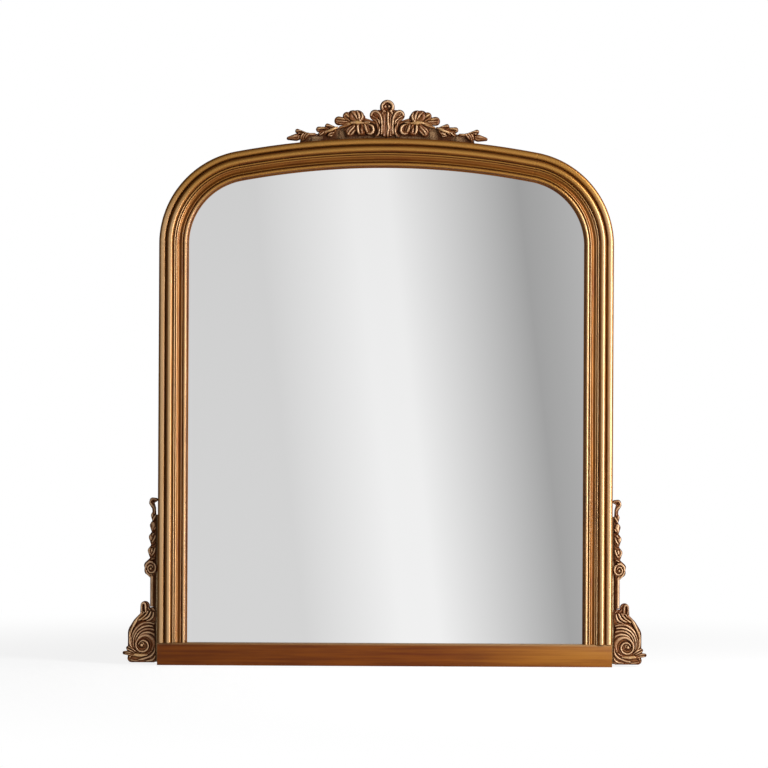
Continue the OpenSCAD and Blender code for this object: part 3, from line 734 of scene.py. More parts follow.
class Tree(Graph):
    """A Geometry Nodes tree with named inputs that ends in Realize Instances and Set Material."""

    def __init__(self, name, sockets):
        tree = bpy.data.node_groups.new(name, "GeometryNodeTree")
        super().__init__(tree)
        for label, kind in {**sockets, "Material": "Material"}.items():
            tree.interface.new_socket(name=label, in_out="INPUT", socket_type="NodeSocket" + kind)
        tree.interface.new_socket(name="Geometry", in_out="OUTPUT", socket_type="NodeSocketGeometry")
        self.group = tree.nodes.new("NodeGroupInput")

    def given(self, label):
        """One of the tree's inputs."""
        return Wire(self, self.group.outputs[label])

    def vector(self, operation, *values):
        """Vector Math on wires or plain vectors."""
        inputs = {"Scale" if operation == "SCALE" and i == 1 else i: v for i, v in enumerate(values)}
        return self.node("ShaderNodeVectorMath", {"operation": operation}, inputs)

    def store(self, geometry, name, value):
        """Keeps a value as a named attribute of the points."""
        inputs = {"Geometry": geometry, "Name": name, "Value": value}
        settings = {"data_type": "FLOAT", "domain": "POINT"}
        return self.node("GeometryNodeStoreNamedAttribute", settings, inputs)

    def end(self, geometry):
        """Ends the tree in real geometry with its material."""
        real = self.node("GeometryNodeRealizeInstances", {}, {0: geometry})
        done = self.node("GeometryNodeSetMaterial", {}, {0: real, "Material": self.given("Material")})
        self.node("NodeGroupOutput", {}, {0: done})
        return self.tree


def run_tree(tree, name, base, **values):
    """A plain mesh piece from a tree, its inputs set by their identifiers."""
    piece = show(name, base or bpy.data.meshes.new(name))
    modifier = piece.modifiers.new("nodes", "NODES")
    modifier.node_group = tree
    for socket in tree.interface.items_tree:
        key = socket.name.lower().replace(" ", "_")
        if socket.in_out == "INPUT" and key in values:
            modifier[socket.identifier] = values[key]
    apply_modifiers(piece)
    piece.data.name = name
    return piece


def moulding_tree():
    """Sweeps a section along a straight or round path, with a fine joint line at each end."""
    sockets = {"Section": "Object", "Curved": "Bool"}
    sockets.update(dict.fromkeys(("Start", "End", "Centre"), "Vector"))
    sockets.update(dict.fromkeys(("Radius", "Start angle", "End angle"), "Float"), Rings="Int")
    sockets.update(dict.fromkeys(("End share", "Joint line", "Wave", "Length", "Seed"), "Float"))
    t = Tree("moulding_along_path", sockets)
    rings = t.given("Rings")
    index = t.node("GeometryNodeInputIndex")
    line = t.node("GeometryNodeMeshLine", {"mode": "OFFSET"}, {"Count": rings + 1})
    first, last = index < 0.5, index > rings - 0.5
    inner = (index.high(1).low(rings - 1) - 1) / (rings - 2)
    margin = t.given("End share")
    share = (margin + inner * (1 - margin * 2)) * (1 - first) * (1 - last) + last
    whole = t.vector("SUBTRACT", t.given("End"), t.given("Start"))
    straight = t.vector("ADD", t.given("Start"), t.vector("SCALE", whole, share))
    angle = t.given("Start angle") + (t.given("End angle") - t.given("Start angle")) * share
    turned = {0: angle.maths("COSINE", angle), 2: angle.maths("SINE", angle)}
    spoke = t.node("ShaderNodeCombineXYZ", {}, turned)
    round_way = t.vector("ADD", t.given("Centre"), t.vector("SCALE", spoke, t.given("Radius")))
    ways = {0: t.given("Curved"), 1: straight, 2: round_way}
    spot = t.node("GeometryNodeSwitch", {"input_type": "VECTOR"}, ways)
    placed = t.node("GeometryNodeSetPosition", {}, {"Geometry": line, "Position": spot})
    marked = t.store(placed, "joint", first.high(last))
    marked = t.store(marked, "along", share * t.given("Length") + t.given("Seed"))
    path = t.node("GeometryNodeMeshToCurve", {}, {0: marked})
    outward = t.vector("CROSS_PRODUCT", (0, 1, 0), t.node("GeometryNodeInputTangent"))
    path = t.node("GeometryNodeSetCurveNormal", {"mode": "FREE"}, {"Curve": path, "Normal": outward})
    section = t.node("GeometryNodeObjectInfo", {}, {"Object": t.given("Section")}, output="Geometry")
    profile = t.node("GeometryNodeMeshToCurve", {}, {0: section})
    joint = t.node("GeometryNodeInputNamedAttribute", {"data_type": "FLOAT"}, {"Name": "joint"})
    drawn_in = 1 - joint * t.given("Joint line")
    inputs = {"Curve": path, "Profile Curve": profile, "Scale": drawn_in, "Fill Caps": True}
    swept = t.node("GeometryNodeCurveToMesh", {}, inputs)
    position = t.node("GeometryNodeInputPosition")
    normal = t.node("GeometryNodeInputNormal")
    broad = t.node("ShaderNodeTexNoise", {}, {"Vector": position, "Scale": 26.0, "Detail": 1.0})
    close = t.node("ShaderNodeTexNoise", {}, {"Vector": position, "Scale": 150.0, "Detail": 2.0})
    wave = (broad * 0.7 + close * 0.3 - 0.5) * t.given("Wave") * 2
    inputs = {"Geometry": swept, "Offset": t.vector("SCALE", normal, wave)}
    return t.end(t.node("GeometryNodeSetPosition", {}, inputs))


def wire_tree():
    """Sweeps a round wire along the edges of the object's own mesh."""
    t = Tree("wire_along_path", {"Geometry": "Geometry", "Radius": "Float", "Sides": "Int"})
    path = t.node("GeometryNodeMeshToCurve", {}, {0: t.given("Geometry")})
    size = {"Resolution": t.given("Sides"), "Radius": t.given("Radius")}
    ring = t.node("GeometryNodeCurvePrimitiveCircle", {}, size)
    inputs = {"Curve": path, "Profile Curve": ring, "Fill Caps": True}
    return t.end(t.node("GeometryNodeCurveToMesh", {}, inputs))


def repeat_tree():
    """Puts a copy of an object on each point of the object's own mesh, turned at random about Y."""
    sockets = {"Geometry": "Geometry", "Copy": "Object", "Turn": "Float", "Seed": "Int"}
    t = Tree("repeat_on_points", sockets)
    copy = t.node("GeometryNodeObjectInfo", {}, {"Object": t.given("Copy")}, output="Geometry")
    points = t.node("GeometryNodeInstanceOnPoints", {}, {"Points": t.given("Geometry"), "Instance": copy})
    inputs = {2: -t.given("Turn"), 3: t.given("Turn"), 8: t.given("Seed")}
    turn = t.node("FunctionNodeRandomValue", {"data_type": "FLOAT"}, inputs, output=1)
    spin = t.node("ShaderNodeCombineXYZ", {}, {1: turn})
    turned = t.node("GeometryNodeRotateInstances", {}, {"Instances": points, "Rotation": spin})
    return t.end(turned)


def tree_of(name):
    """A node tree by its name, made once."""
    makers = {
        "moulding_along_path": moulding_tree,
        "wire_along_path": wire_tree,
        "repeat_on_points": repeat_tree,
    }
    return bpy.data.node_groups.get(name) or makers[name]()


# Mouldings


def moulding_section():
    """Points round the moulding's section: distance in, level, rubbing and painted highlight, grime and
    bareness.
    """
    rows = [(0, 0, 0, 0.4, 1), (0, 0.5, 0, 0.5, 0)]
    at = 0.0
    names = list(MEMBERS)
    for name, after in zip(names, [*names[1:], None]):
        width, level, rise, toned = MEMBERS[name]
        steps = max(10, round(width * POINTS_PER_MM))
        for i in range(steps + 1):
            share = i / steps
            turn = math.pi * share
            high = math.sin(turn)
            # The rub share is highest on each crest and on the cove's shoulders: wear, and a painted
            # highlight.
            if rise > 0:
                inset, rub, lift = width / 2 * (1 - math.cos(turn)), high**2, rise * high
            else:
                inset = width * share
                from_end = min(inset, width - inset)
                lift = rise * high**2 - SHOULDER_DROP * max(0, 1 - from_end) ** 2
                rub = 0.9 * math.exp(-((from_end - 1.2) ** 2))
            soot = toned * math.exp(-min(inset, width - inset) / SOOT_REACH)
            rows.append((at + inset, level + lift, rub, soot, 0))
        at += width
        if after:
            quirk = min(level, MEMBERS[after][1]) - QUIRK_DROP
            soot = min(1, toned + MEMBERS[after][3])
            rows += [(at + share * QUIRK_W, quirk, 0, soot, 0) for share in (0, 0.5, 1)]
            at += QUIRK_W
    sight = at + SIGHT_W
    rebate, ledge = sight - REBATE_W, sight - REBATE_W - LEDGE_W
    rows += [(at + 0.1, SIGHT_LEVEL, 0, 0.9, 0), (sight - 0.3, SIGHT_LEVEL, 0.2, 0.6, 0)]
    rows += [(sight, SIGHT_LEVEL - 0.3, 0.2, 0.6, 0), (sight, LIP_LEVEL, 0, 0.9, 0.2)]
    inside = ((rebate, LIP_LEVEL), (rebate, PANEL_LEVEL), (ledge, PANEL_LEVEL), (ledge, 0))
    rows += [(x, y, 0, 0.2, 1) for x, y in inside]
    return np.array(rows)


def section_object():
    """The section as a closed line, drawn with the outward direction along +X."""
    rows = moulding_section()
    count = len(rows)
    points = np.column_stack([-rows[:, 0], -(WALL_GAP + rows[:, 1]), np.zeros(count)]) * MM
    mesh = bpy.data.meshes.new("moulding_section")
    mesh.from_pydata(points.tolist(), [(i, (i + 1) % count) for i in range(count)], [])
    for name, column in (("across", 0), ("rub", 2), ("grime", 3), ("bare", 4)):
        set_attribute(mesh, name, rows[:, column])
    return show("moulding_section", mesh)


def moulding_runs():
    """Each member's path: the ends of a straight one, or centre, radius and angles of a round one."""
    crown = (0, 0, crown_z * MM)
    runs = {"crown_rail": ("round", crown, CROWN_R, JOINT_A, math.pi - JOINT_A)}
    for side, sign in SIDES.items():
        ends = [(sign * EDGE_X * MM, 0, z * MM) for z in (BASE_TOP, SPRING_Z)]
        start, end = (0, JOINT_A) if sign > 0 else (math.pi - JOINT_A, math.pi)
        runs[side + "_stile"] = ("straight", *(ends if sign > 0 else ends[::-1]))
        runs[side + "_corner"] = ("round", (sign * corner_x * MM, 0, SPRING_Z * MM), CORNER_R, start, end)
    return runs


def build_mouldings(settings):
    """The five moulded members, swept from one section."""
    section = section_object()
    end_step = 0.4 * MM
    for seed, (name, run) in enumerate(sorted(moulding_runs().items())):
        if run[0] == "straight":
            reach = (Vector(run[2]) - Vector(run[1])).length
            values = {"curved": False, "start": run[1], "end": run[2]}
            step = settings.run_step
        else:
            reach = run[2] * MM * (run[4] - run[3])
            values = {"curved": True, "centre": run[1], "radius": run[2] * MM}
            values.update(start_angle=run[3], end_angle=run[4])
            step = settings.run_step if name == "crown_rail" else settings.corner_step
        piece = run_tree(
            tree_of("moulding_along_path"),
            name + "_gilded",
            None,
            section=section,
            rings=round(reach / step) + 3,
            end_share=end_step / reach,
            joint_line=settings.joint_shrink,
            wave=settings.wave,
            length=reach / MM,
            seed=1000.0 * seed,
            material=finish_of("gilding"),
            **values,
        )
        outward_faces(piece.data)
        shade(piece.data, 50)
        place_piece(piece, [name], "gilding")
    bpy.data.objects.remove(section)


# Fixings and back


def lathe(name, outline, sides=32):
    """A closed turned solid about Y from points of (radius, y), both ends on the axis."""
    turns = [2 * math.pi * i / sides for i in range(sides)]
    rings = [[(r * math.cos(a), y, r * math.sin(a)) for a in turns] for r, y in outline[1:-1]]
    points = [(0, outline[0][1], 0), (0, outline[-1][1], 0)] + [p for ring in rings for p in ring]

    def at(ring, i):
        """Number of a ring's point."""
        return 2 + ring * sides + i % sides

    faces = [(0, at(0, i), at(0, i + 1)) for i in range(sides)]
    faces += [(1, at(len(rings) - 1, i + 1), at(len(rings) - 1, i)) for i in range(sides)]
    for k in range(len(rings) - 1):
        faces += [(at(k, i), at(k + 1, i), at(k + 1, i + 1), at(k, i + 1)) for i in range(sides)]
    mesh = mesh_of(name, points, faces)
    outward_faces(mesh)
    return show(name, mesh)


def slotted_screw(head_r, shank_r, depth):
    """A countersunk screw along -Y, its slotted head at y 0 and its thread turned as grooves."""
    pitch = 1.25
    countersink = head_r / 2
    outline = [(0, 0), (head_r * 0.93, 0), (head_r, -0.12), (shank_r, -countersink)]
    y = -countersink - 0.8
    outline.append((shank_r, y))
    while y > -depth + 2 * shank_r:
        outline += [(shank_r * 0.76, y - pitch * 0.35), (shank_r, y - pitch * 0.7)]
        outline.append((shank_r * 0.96, y - pitch * 0.8))
        y -= pitch
    outline += [(shank_r * 0.7, y - 0.4), (shank_r * 0.25, -depth), (0, -depth)]
    screw = lathe("screw_pattern", outline)
    slot_x, slot_y, slot_z = (-head_r * 1.2, head_r * 1.2), (-0.8, 0.3), (-0.42, 0.42)
    points = [(x, y, z) for x in slot_x for y in slot_y for z in slot_z]
    faces = [(0, 1, 3, 2), (4, 6, 7, 5), (0, 4, 5, 1), (2, 3, 7, 6), (0, 2, 6, 4), (1, 5, 7, 3)]
    mesh = mesh_of("slot_pattern", points, faces)
    outward_faces(mesh)
    cutter = show("slot_pattern", mesh)
    cut = screw.modifiers.new("slot", "BOOLEAN")
    cut.operation = "DIFFERENCE"
    cut.object = cutter
    cut.solver = "EXACT"
    apply_modifiers(screw)
    bpy.data.objects.remove(cutter)
    shade(screw.data, 35)
    return screw


def repeated(name, pattern, spots, turn, seed, material):
    """Copies of a pattern on each spot, in millimetres, as one mesh."""
    base = bpy.data.meshes.new(name + "_spots")
    base.from_pydata((np.array(spots) * MM).tolist(), [], [])
    values = {"copy": pattern, "turn": turn, "seed": seed, "material": finish_of(material)}
    made = run_tree(tree_of("repeat_on_points"), name, base, **values)
    bpy.data.objects.remove(pattern)
    return made


def head_spots(node):
    """The middle of the wall-side face of each solid of a node."""
    return [((low[0] + high[0]) / 2, high[1], (low[2] + high[2]) / 2) for low, high in islands(node)]


def build_fixings():
    """Screws of the panel and the hangers, and the felt bumpers."""
    for node, seed in (("panel_screws", 3), ("hanger_screws", 5)):
        low, high = islands(node)[0]
        head_r = (high[0] - low[0]) / 2
        screw = slotted_screw(head_r, head_r / 2, high[1] - low[1])
        piece = repeated(node + "_slotted", screw, head_spots(node), math.pi, seed, "zinc")
        place_piece(piece, [node], "zinc")
    low, high = islands("wall_bumpers")[0]
    radius, thick = (high[0] - low[0]) / 2, high[1] - low[1]
    outline = [(0, 0), (radius - 1.6, 0), (radius - 0.6, -0.3), (radius - 0.1, -1), (radius, -2)]
    outline += [(radius - 0.25, -3.4), (radius - 0.1, -thick + 0.3), (radius - 0.5, -thick), (0, -thick)]
    pad = lathe("bumper_pattern", outline, 48)
    shade(pad.data, 60)
    piece = repeated("felt_bumpers", pad, head_spots("wall_bumpers"), math.pi, 7, "pressed_felt")
    place_piece(piece, ["wall_bumpers"], "pressed_felt")


def arc(centre, radius, start, end, steps):
    """Points on an arc, with its angles in degrees."""
    turns = np.radians(np.linspace(start, end, steps))
    return [(centre[0] + radius * math.cos(a), centre[1] + radius * math.sin(a)) for a in turns]


def ring_path(node):
    """The D ring's centre line, from its box: a bar, two small bends, two legs and a half circle."""
    low, high = corners(node)
    wire = high[1] - low[1]
    middle = (low + high) / 2
    half = (high[0] - low[0] - wire) / 2
    top = high[2] - wire / 2
    bend = 2.5
    centre = low[2] + wire / 2 + half
    points = arc((half - bend, top - bend), bend, 90, 0, 9)
    points += arc((0, centre), half, 0, -180, 41)
    points += arc((bend - half, top - bend), bend, 180, 90, 9)
    return [(middle[0] + x, middle[1], z) for x, z in points], wire / 2


def build_hangers():
    """The strap hangers and the D rings that swing in them."""
    for side in SIDES:
        hanger = worked_copy(side + "_hanger", side + "_strap_hanger", 0.25 * MM)
        place_piece(hanger, [side + "_hanger"], "zinc")
        path, radius = ring_path(side + "_d_ring")
        base = bpy.data.meshes.new("ring_path")
        count = len(path)
        base.from_pydata((np.array(path) * MM).tolist(), [(i, (i + 1) % count) for i in range(count)], [])
        values = {"radius": radius * MM, "sides": 20, "material": finish_of("zinc")}
        ring = run_tree(tree_of("wire_along_path"), side + "_wire_ring", base, **values)
        outward_faces(ring.data)
        shade(ring.data, 60)
        place_piece(ring, [side + "_d_ring"], "zinc", side + "_ring")


def build_back():
    """Back panel, grounds and the pieces inside that keep their CAD shape."""
    panel = worked_copy("back_panel", "wooden_back_panel", 0.5 * MM)
    place_piece(panel, ["back_panel"], "back_wood")
    for node in ("crest_ground", "left_ground", "right_ground"):
        piece = worked_copy(node, node + "_strip", 0.4 * MM)
        place_piece(piece, [node], "dusty_wood")
    kept = {
        "frame_dowels": "back_wood",
        "glass_blocks": "back_wood",
        "crest_pins": "zinc",
        "side_pins": "zinc",
        "mirror_glass": "mirror_plate",
    }
    for node, material in kept.items():
        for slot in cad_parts[node].material_slots:
            slot.material = finish_of(material)


def build_base_rail(settings):
    """The plain base rail with its arrises taken off."""
    rail = worked_copy("base_rail", "stained_base_rail", settings.arris)
    place_piece(rail, ["base_rail"], "stained_wood")


# Carving

LINE_STEPS = 7


def smooth_line(points):
    """A smooth line through points, with LINE_STEPS steps from one to the next."""
    points = np.array(points, float)
    if len(points) < 3:
        return points
    padded = np.vstack([2 * points[0] - points[1], points, 2 * points[-1] - points[-2]])
    share = np.linspace(0, 1, LINE_STEPS, endpoint=False)[:, None]
    parts = []
    for a, b, c, d in zip(padded, padded[1:], padded[2:], padded[3:]):
        second, third = 2 * a - 5 * b + 4 * c - d, 3 * b - a - 3 * c + d
        parts.append(0.5 * (2 * b + (c - a) * share + second * share**2 + third * share**3))
    return np.vstack([*parts, points[-1:]])


def nearest(line, u, v):
    """Distance to a line and how far along it the nearest point lies, from 0 to 1."""
    distance, share = np.full(u.shape, 1e9), np.zeros(u.shape)
    if len(line) == 1:
        return np.hypot(u - line[0][0], v - line[0][1]), share
    ends = np.concatenate([[0], np.cumsum(np.hypot(*np.diff(line, axis=0).T))])
    for (u0, v0), (u1, v1), start, end in zip(line, line[1:], ends, ends[1:]):
        du, dv = u1 - u0, v1 - v0
        part = np.clip(((u - u0) * du + (v - v0) * dv) / (du * du + dv * dv + 1e-12), 0, 1)
        away = np.hypot(u - u0 - part * du, v - v0 - part * dv)
        closer = away < distance
        distance[closer] = away[closer]
        share[closer] = (start + part * (end - start))[closer] / ends[-1]
    return distance, share


def hull_depth(arm, u, v):
    """How far points lie inside the hull of an arm's two circles."""
    u0, v0, u1, v1, r0, r1 = arm
    du, dv = u1 - u0, v1 - v0
    span = math.hypot(du, dv)
    slope = (r1 - r0) / span
    along = ((u - u0) * du + (v - v0) * dv) / span
    aside = ((v - v0) * du - (u - u0) * dv) / span
    share = np.clip((along + slope / math.sqrt(1 - slope * slope) * np.abs(aside)) / span, 0, 1)
    radius = r0 + (r1 - r0) * share
    return radius - np.hypot(along - share * span, aside)


def blurred(field, cells):
    """The field softened by a Gaussian whose width is given in cells."""
    pad = int(3 * cells) + 2
    wide = np.pad(field, pad, mode="edge")
    rows, columns = np.fft.fftfreq(wide.shape[0])[:, None], np.fft.rfftfreq(wide.shape[1])[None, :]
    keep = np.exp(-2 * (math.pi * cells) ** 2 * (rows**2 + columns**2))
    return np.fft.irfft2(np.fft.rfft2(wide) * keep, s=wide.shape)[pad:-pad, pad:-pad]


class Relief:
    """A carved face in millimetres: an outline of rounded arms, a height over the ground and a tone of
    toning with painted highlights and painted shade.
    """

    def __init__(self, arms, ground, settings, left=-1e3, bottom=-1e3, top=1e3):
        self.arms = arms
        self.limits = (left, bottom, top)
        self.cell = settings.cell / MM
        self.settings = settings
        spots = [(u0, v0, r0) for u0, v0, u1, v1, r0, r1 in arms]
        spots += [(u1, v1, r1) for u0, v0, u1, v1, r0, r1 in arms]
        low = (max(left, min(u - r for u, v, r in spots)), max(bottom, min(v - r for u, v, r in spots)))
        high = (max(u + r for u, v, r in spots), min(top, max(v + r for u, v, r in spots)))
        axes = [np.arange(a - 3 * self.cell, b + 3 * self.cell, self.cell) for a, b in zip(low, high)]
        self.u, self.v = np.meshgrid(*axes, indexing="ij")
        self.depth = self.depth_at(self.u, self.v)
        self.height = np.full(self.u.shape, float(ground))
        self.tone = np.full(self.u.shape, 0.5)
        self.gold = np.zeros(self.u.shape)

    def depth_at(self, u, v):
        """How far points lie inside the outline."""
        left, bottom, top = self.limits
        depth = np.max([hull_depth(arm, u, v) for arm in self.arms], axis=0)
        return np.minimum.reduce([depth, u - left, v - bottom, top - v])

    def along(self, points, half):
        """Distance to a smooth line, its half width there and how far along it that is."""
        distance, share = nearest(smooth_line(points), self.u, self.v)
        return distance, spread(half, share), share

    def swell(self, top, reach):
        """A body that rises from its outline towards its middle."""
        full = 1 - np.exp(-np.clip(self.depth, 0, None) / reach)
        self.height = np.maximum(self.height, self.height + (top - self.height) * full)

    def reed(self, points, half, top, groove, light=0.24, gold=0.0, over=False):
        """A round reed with a cut beside it. Its width, height and tone may change along it."""
        distance, half, share = self.along(points, half)
        top, light, gold = [spread(values, share) for values in (top, light, gold)]
        # The tone takes painted shade in the cut beside the reed and a painted highlight along its crest.
        beside = np.exp(-(((distance - half - 0.4) / 0.75) ** 2)) * (distance > half)
        round_off = np.sqrt(np.clip(1 - (distance / half) ** 2, 0, 1))
        self.height = self.height - 0.75 * groove * beside
        self.tone = self.tone - 0.3 * min(1.0, groove) * beside
        lifted = top * (0.66 + 0.34 * round_off)
        lifted = lifted if over else np.maximum(self.height, lifted)
        inside = distance < half
        self.height = np.where(inside, lifted, self.height)
        self.tone = np.where(inside, 0.42 + (light + 0.1) * round_off, self.tone)
        self.gold = np.where(inside, gold * round_off, self.gold)

    def cut(self, points, half, depth, dark=0.34):
        """A gouge cut along a line."""
        distance, half, share = self.along(points, half)
        hollow = np.sqrt(np.clip(1 - (distance / half) ** 2, 0, 1))
        self.height = self.height - 0.75 * depth * hollow
        # The cut's tone is darkened: painted shade, partly dark toning.
        self.tone = self.tone - dark * np.minimum(1, 1.3 * hollow)

    def lobe(self, arm, top, rim, hollow, light=0.16):
        """A rounded lobe with a rolled rim, laid over what is there."""
        depth = hull_depth(arm, self.u, self.v)
        form = np.exp(-(((depth - rim) / (0.85 * rim)) ** 2))
        # Painted shade darkens a line round the lobe, and a painted highlight lightens its rim.
        beside = np.exp(-(((depth + 0.5) / 0.9) ** 2)) * (depth < 0)
        self.height = self.height - 1.4 * beside
        self.tone = self.tone - 0.34 * beside
        inside = depth > 0
        self.height = np.where(inside, top * (1 - hollow + hollow * form), self.height)
        self.tone = np.where(inside, 0.44 + light * form, self.tone)
        self.gold = np.where(inside, 0, self.gold)

    def gild(self, spot, reach, amount):
        """A painted highlight: a patch of brighter, yellower gilding."""
        away = np.hypot((self.u - spot[0]) / reach[0], (self.v - spot[1]) / reach[1])
        raised = np.clip(self.tone * 2 - 0.4, 0, 1)
        self.gold = np.maximum(self.gold, amount * np.exp(-away * away) * raised)

    def finish(self, rise, margin=2.4):
        """Rolls the outline over, softens the cuts, paints shade in the hollows and along the outline and
        paints highlights on the ridges.
        """
        top = rise / MM
        height = np.clip(self.height, 1.2, top)
        self.edge = np.minimum(height, 0.5 * top)
        rolled = np.clip(self.depth / (self.settings.edge_round / MM), 0, 1)
        height = self.edge + (height - self.edge) * np.sqrt(1 - (1 - rolled) ** 2)
        self.height = blurred(height, self.settings.softness / self.settings.cell)
        # Painted highlights on what stands proud, painted shade in the hollows, and painted shade along
        # the outline over a margin in millimetres.
        relief_light_and_shade = self.height - blurred(self.height, 1.1 / self.cell)
        painted_edge_shade = 1 - np.clip(self.depth / margin, 0, 1)
        tone = blurred(self.tone, 0.25 / self.cell) + relief_light_and_shade * 0.14 - 0.36 * painted_edge_shade**1.5
        self.tone = np.clip(tone, 0, 1)
        self.gold = blurred(self.gold, 0.4 / self.cell)


def spread(values, share):
    """A number, or a few numbers read along a share from 0 to 1."""
    values = np.atleast_1d(values)
    return np.interp(share, np.linspace(0, 1, len(values)), values)


def shifted(arms, across, up):
    """Arms moved from their piece's own centre to their place."""
    return [(u0 + across, v0 + up, u1 + across, v1 + up, r0, r1) for u0, v0, u1, v1, r0, r1 in arms]


def fanned(eye, tips, across):
    """Arms from an eye to each tip, placed on the crown's edge."""
    return shifted([(*eye, *tip) for tip in tips], across, crown_top(across))


def kept_cells(relief):
    """Cells whose middle lies inside the outline, with corner contacts filled."""
    half = relief.cell / 2
    kept = relief.depth_at(relief.u[:-1, :-1] + half, relief.v[:-1, :-1] + half) > 0
    for _ in range(4):
        a, b, c, d = kept[:-1, :-1], kept[1:, :-1], kept[:-1, 1:], kept[1:, 1:]
        rising, falling = a & d & ~b & ~c, b & c & ~a & ~d
        if not (rising.any() or falling.any()):
            break
        kept[1:, :-1] |= rising
        kept[:-1, :-1] |= falling
    return kept


def carved_mesh(name, relief, side):
    """A closed mesh of a relief: carved front, flat back on the ground and a wall between.

    The rim's points are first moved onto the outline in three small steps.
    """
    kept = kept_cells(relief)
    rows, columns = np.nonzero(kept)
    shape = relief.u.shape
    number = np.arange(relief.u.size).reshape(shape)
    quads = np.stack([number[rows + i, columns + j] for i, j in ((0, 0), (1, 0), (1, 1), (0, 1))], axis=1)
    used, quads = np.unique(quads, return_inverse=True)
    quads = quads.reshape(-1, 4)
    u, v = relief.u.ravel()[used], relief.v.ravel()[used]
    height, tone, gold = [field.ravel()[used] for field in (relief.height, relief.tone, relief.gold)]
    edges = np.concatenate([quads[:, [i, (i + 1) % 4]] for i in range(4)])
    directed = {tuple(edge) for edge in edges.tolist()}
    rim_edges = [(a, b) for a, b in directed if (b, a) not in directed]
    rim = np.unique([a for edge in rim_edges for a in edge])
    step = 0.02
    reach = 0.5 * relief.cell
    for _ in range(3):
        depth = relief.depth_at(u[rim], v[rim])
        gu = (relief.depth_at(u[rim] + step, v[rim]) - depth) / step
        gv = (relief.depth_at(u[rim], v[rim] + step) - depth) / step
        scale = np.clip(depth, -reach, reach) / np.maximum(gu * gu + gv * gv, 0.25)
        u[rim] -= gu * scale
        v[rim] -= gv * scale
    height[rim] = relief.edge.ravel()[used][rim]
    count = len(u)
    across, level = side * u, v
    front = np.column_stack([across, GROUND_FRONT - height, level])
    back = np.column_stack([across, np.full(count, GROUND_FRONT), level])
    faces = [*quads.tolist(), *(quads[:, ::-1] + count).tolist()]
    faces += [[b, a, a + count, b + count] for a, b in rim_edges]
    if side < 0:
        faces = [face[::-1] for face in faces]
    mesh = mesh_of(name, np.vstack([front, back]), faces)
    # The back and the walls take a low tone, which shows on the walls as painted shade.
    set_attribute(mesh, "tone", np.concatenate([tone, np.full(count, 0.25)]))
    set_attribute(mesh, "gold", np.concatenate([gold, np.zeros(count)]))
    return mesh


def place_carving(node, relief):
    """Meshes a relief for the middle node, or for the left and right nodes, that it stands for."""
    pair = {"left_" + node: -1, "right_" + node: 1} if "right_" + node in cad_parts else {node: 1}
    for name, side in pair.items():
        piece = show(name + "_carving", carved_mesh(name + "_carving", relief, side))
        shade(piece.data, 62)
        place_piece(piece, [name], "carved_gilding")


def both(points):
    """A line and its mirror image."""
    return [points, [(-u, v) for u, v in points]]


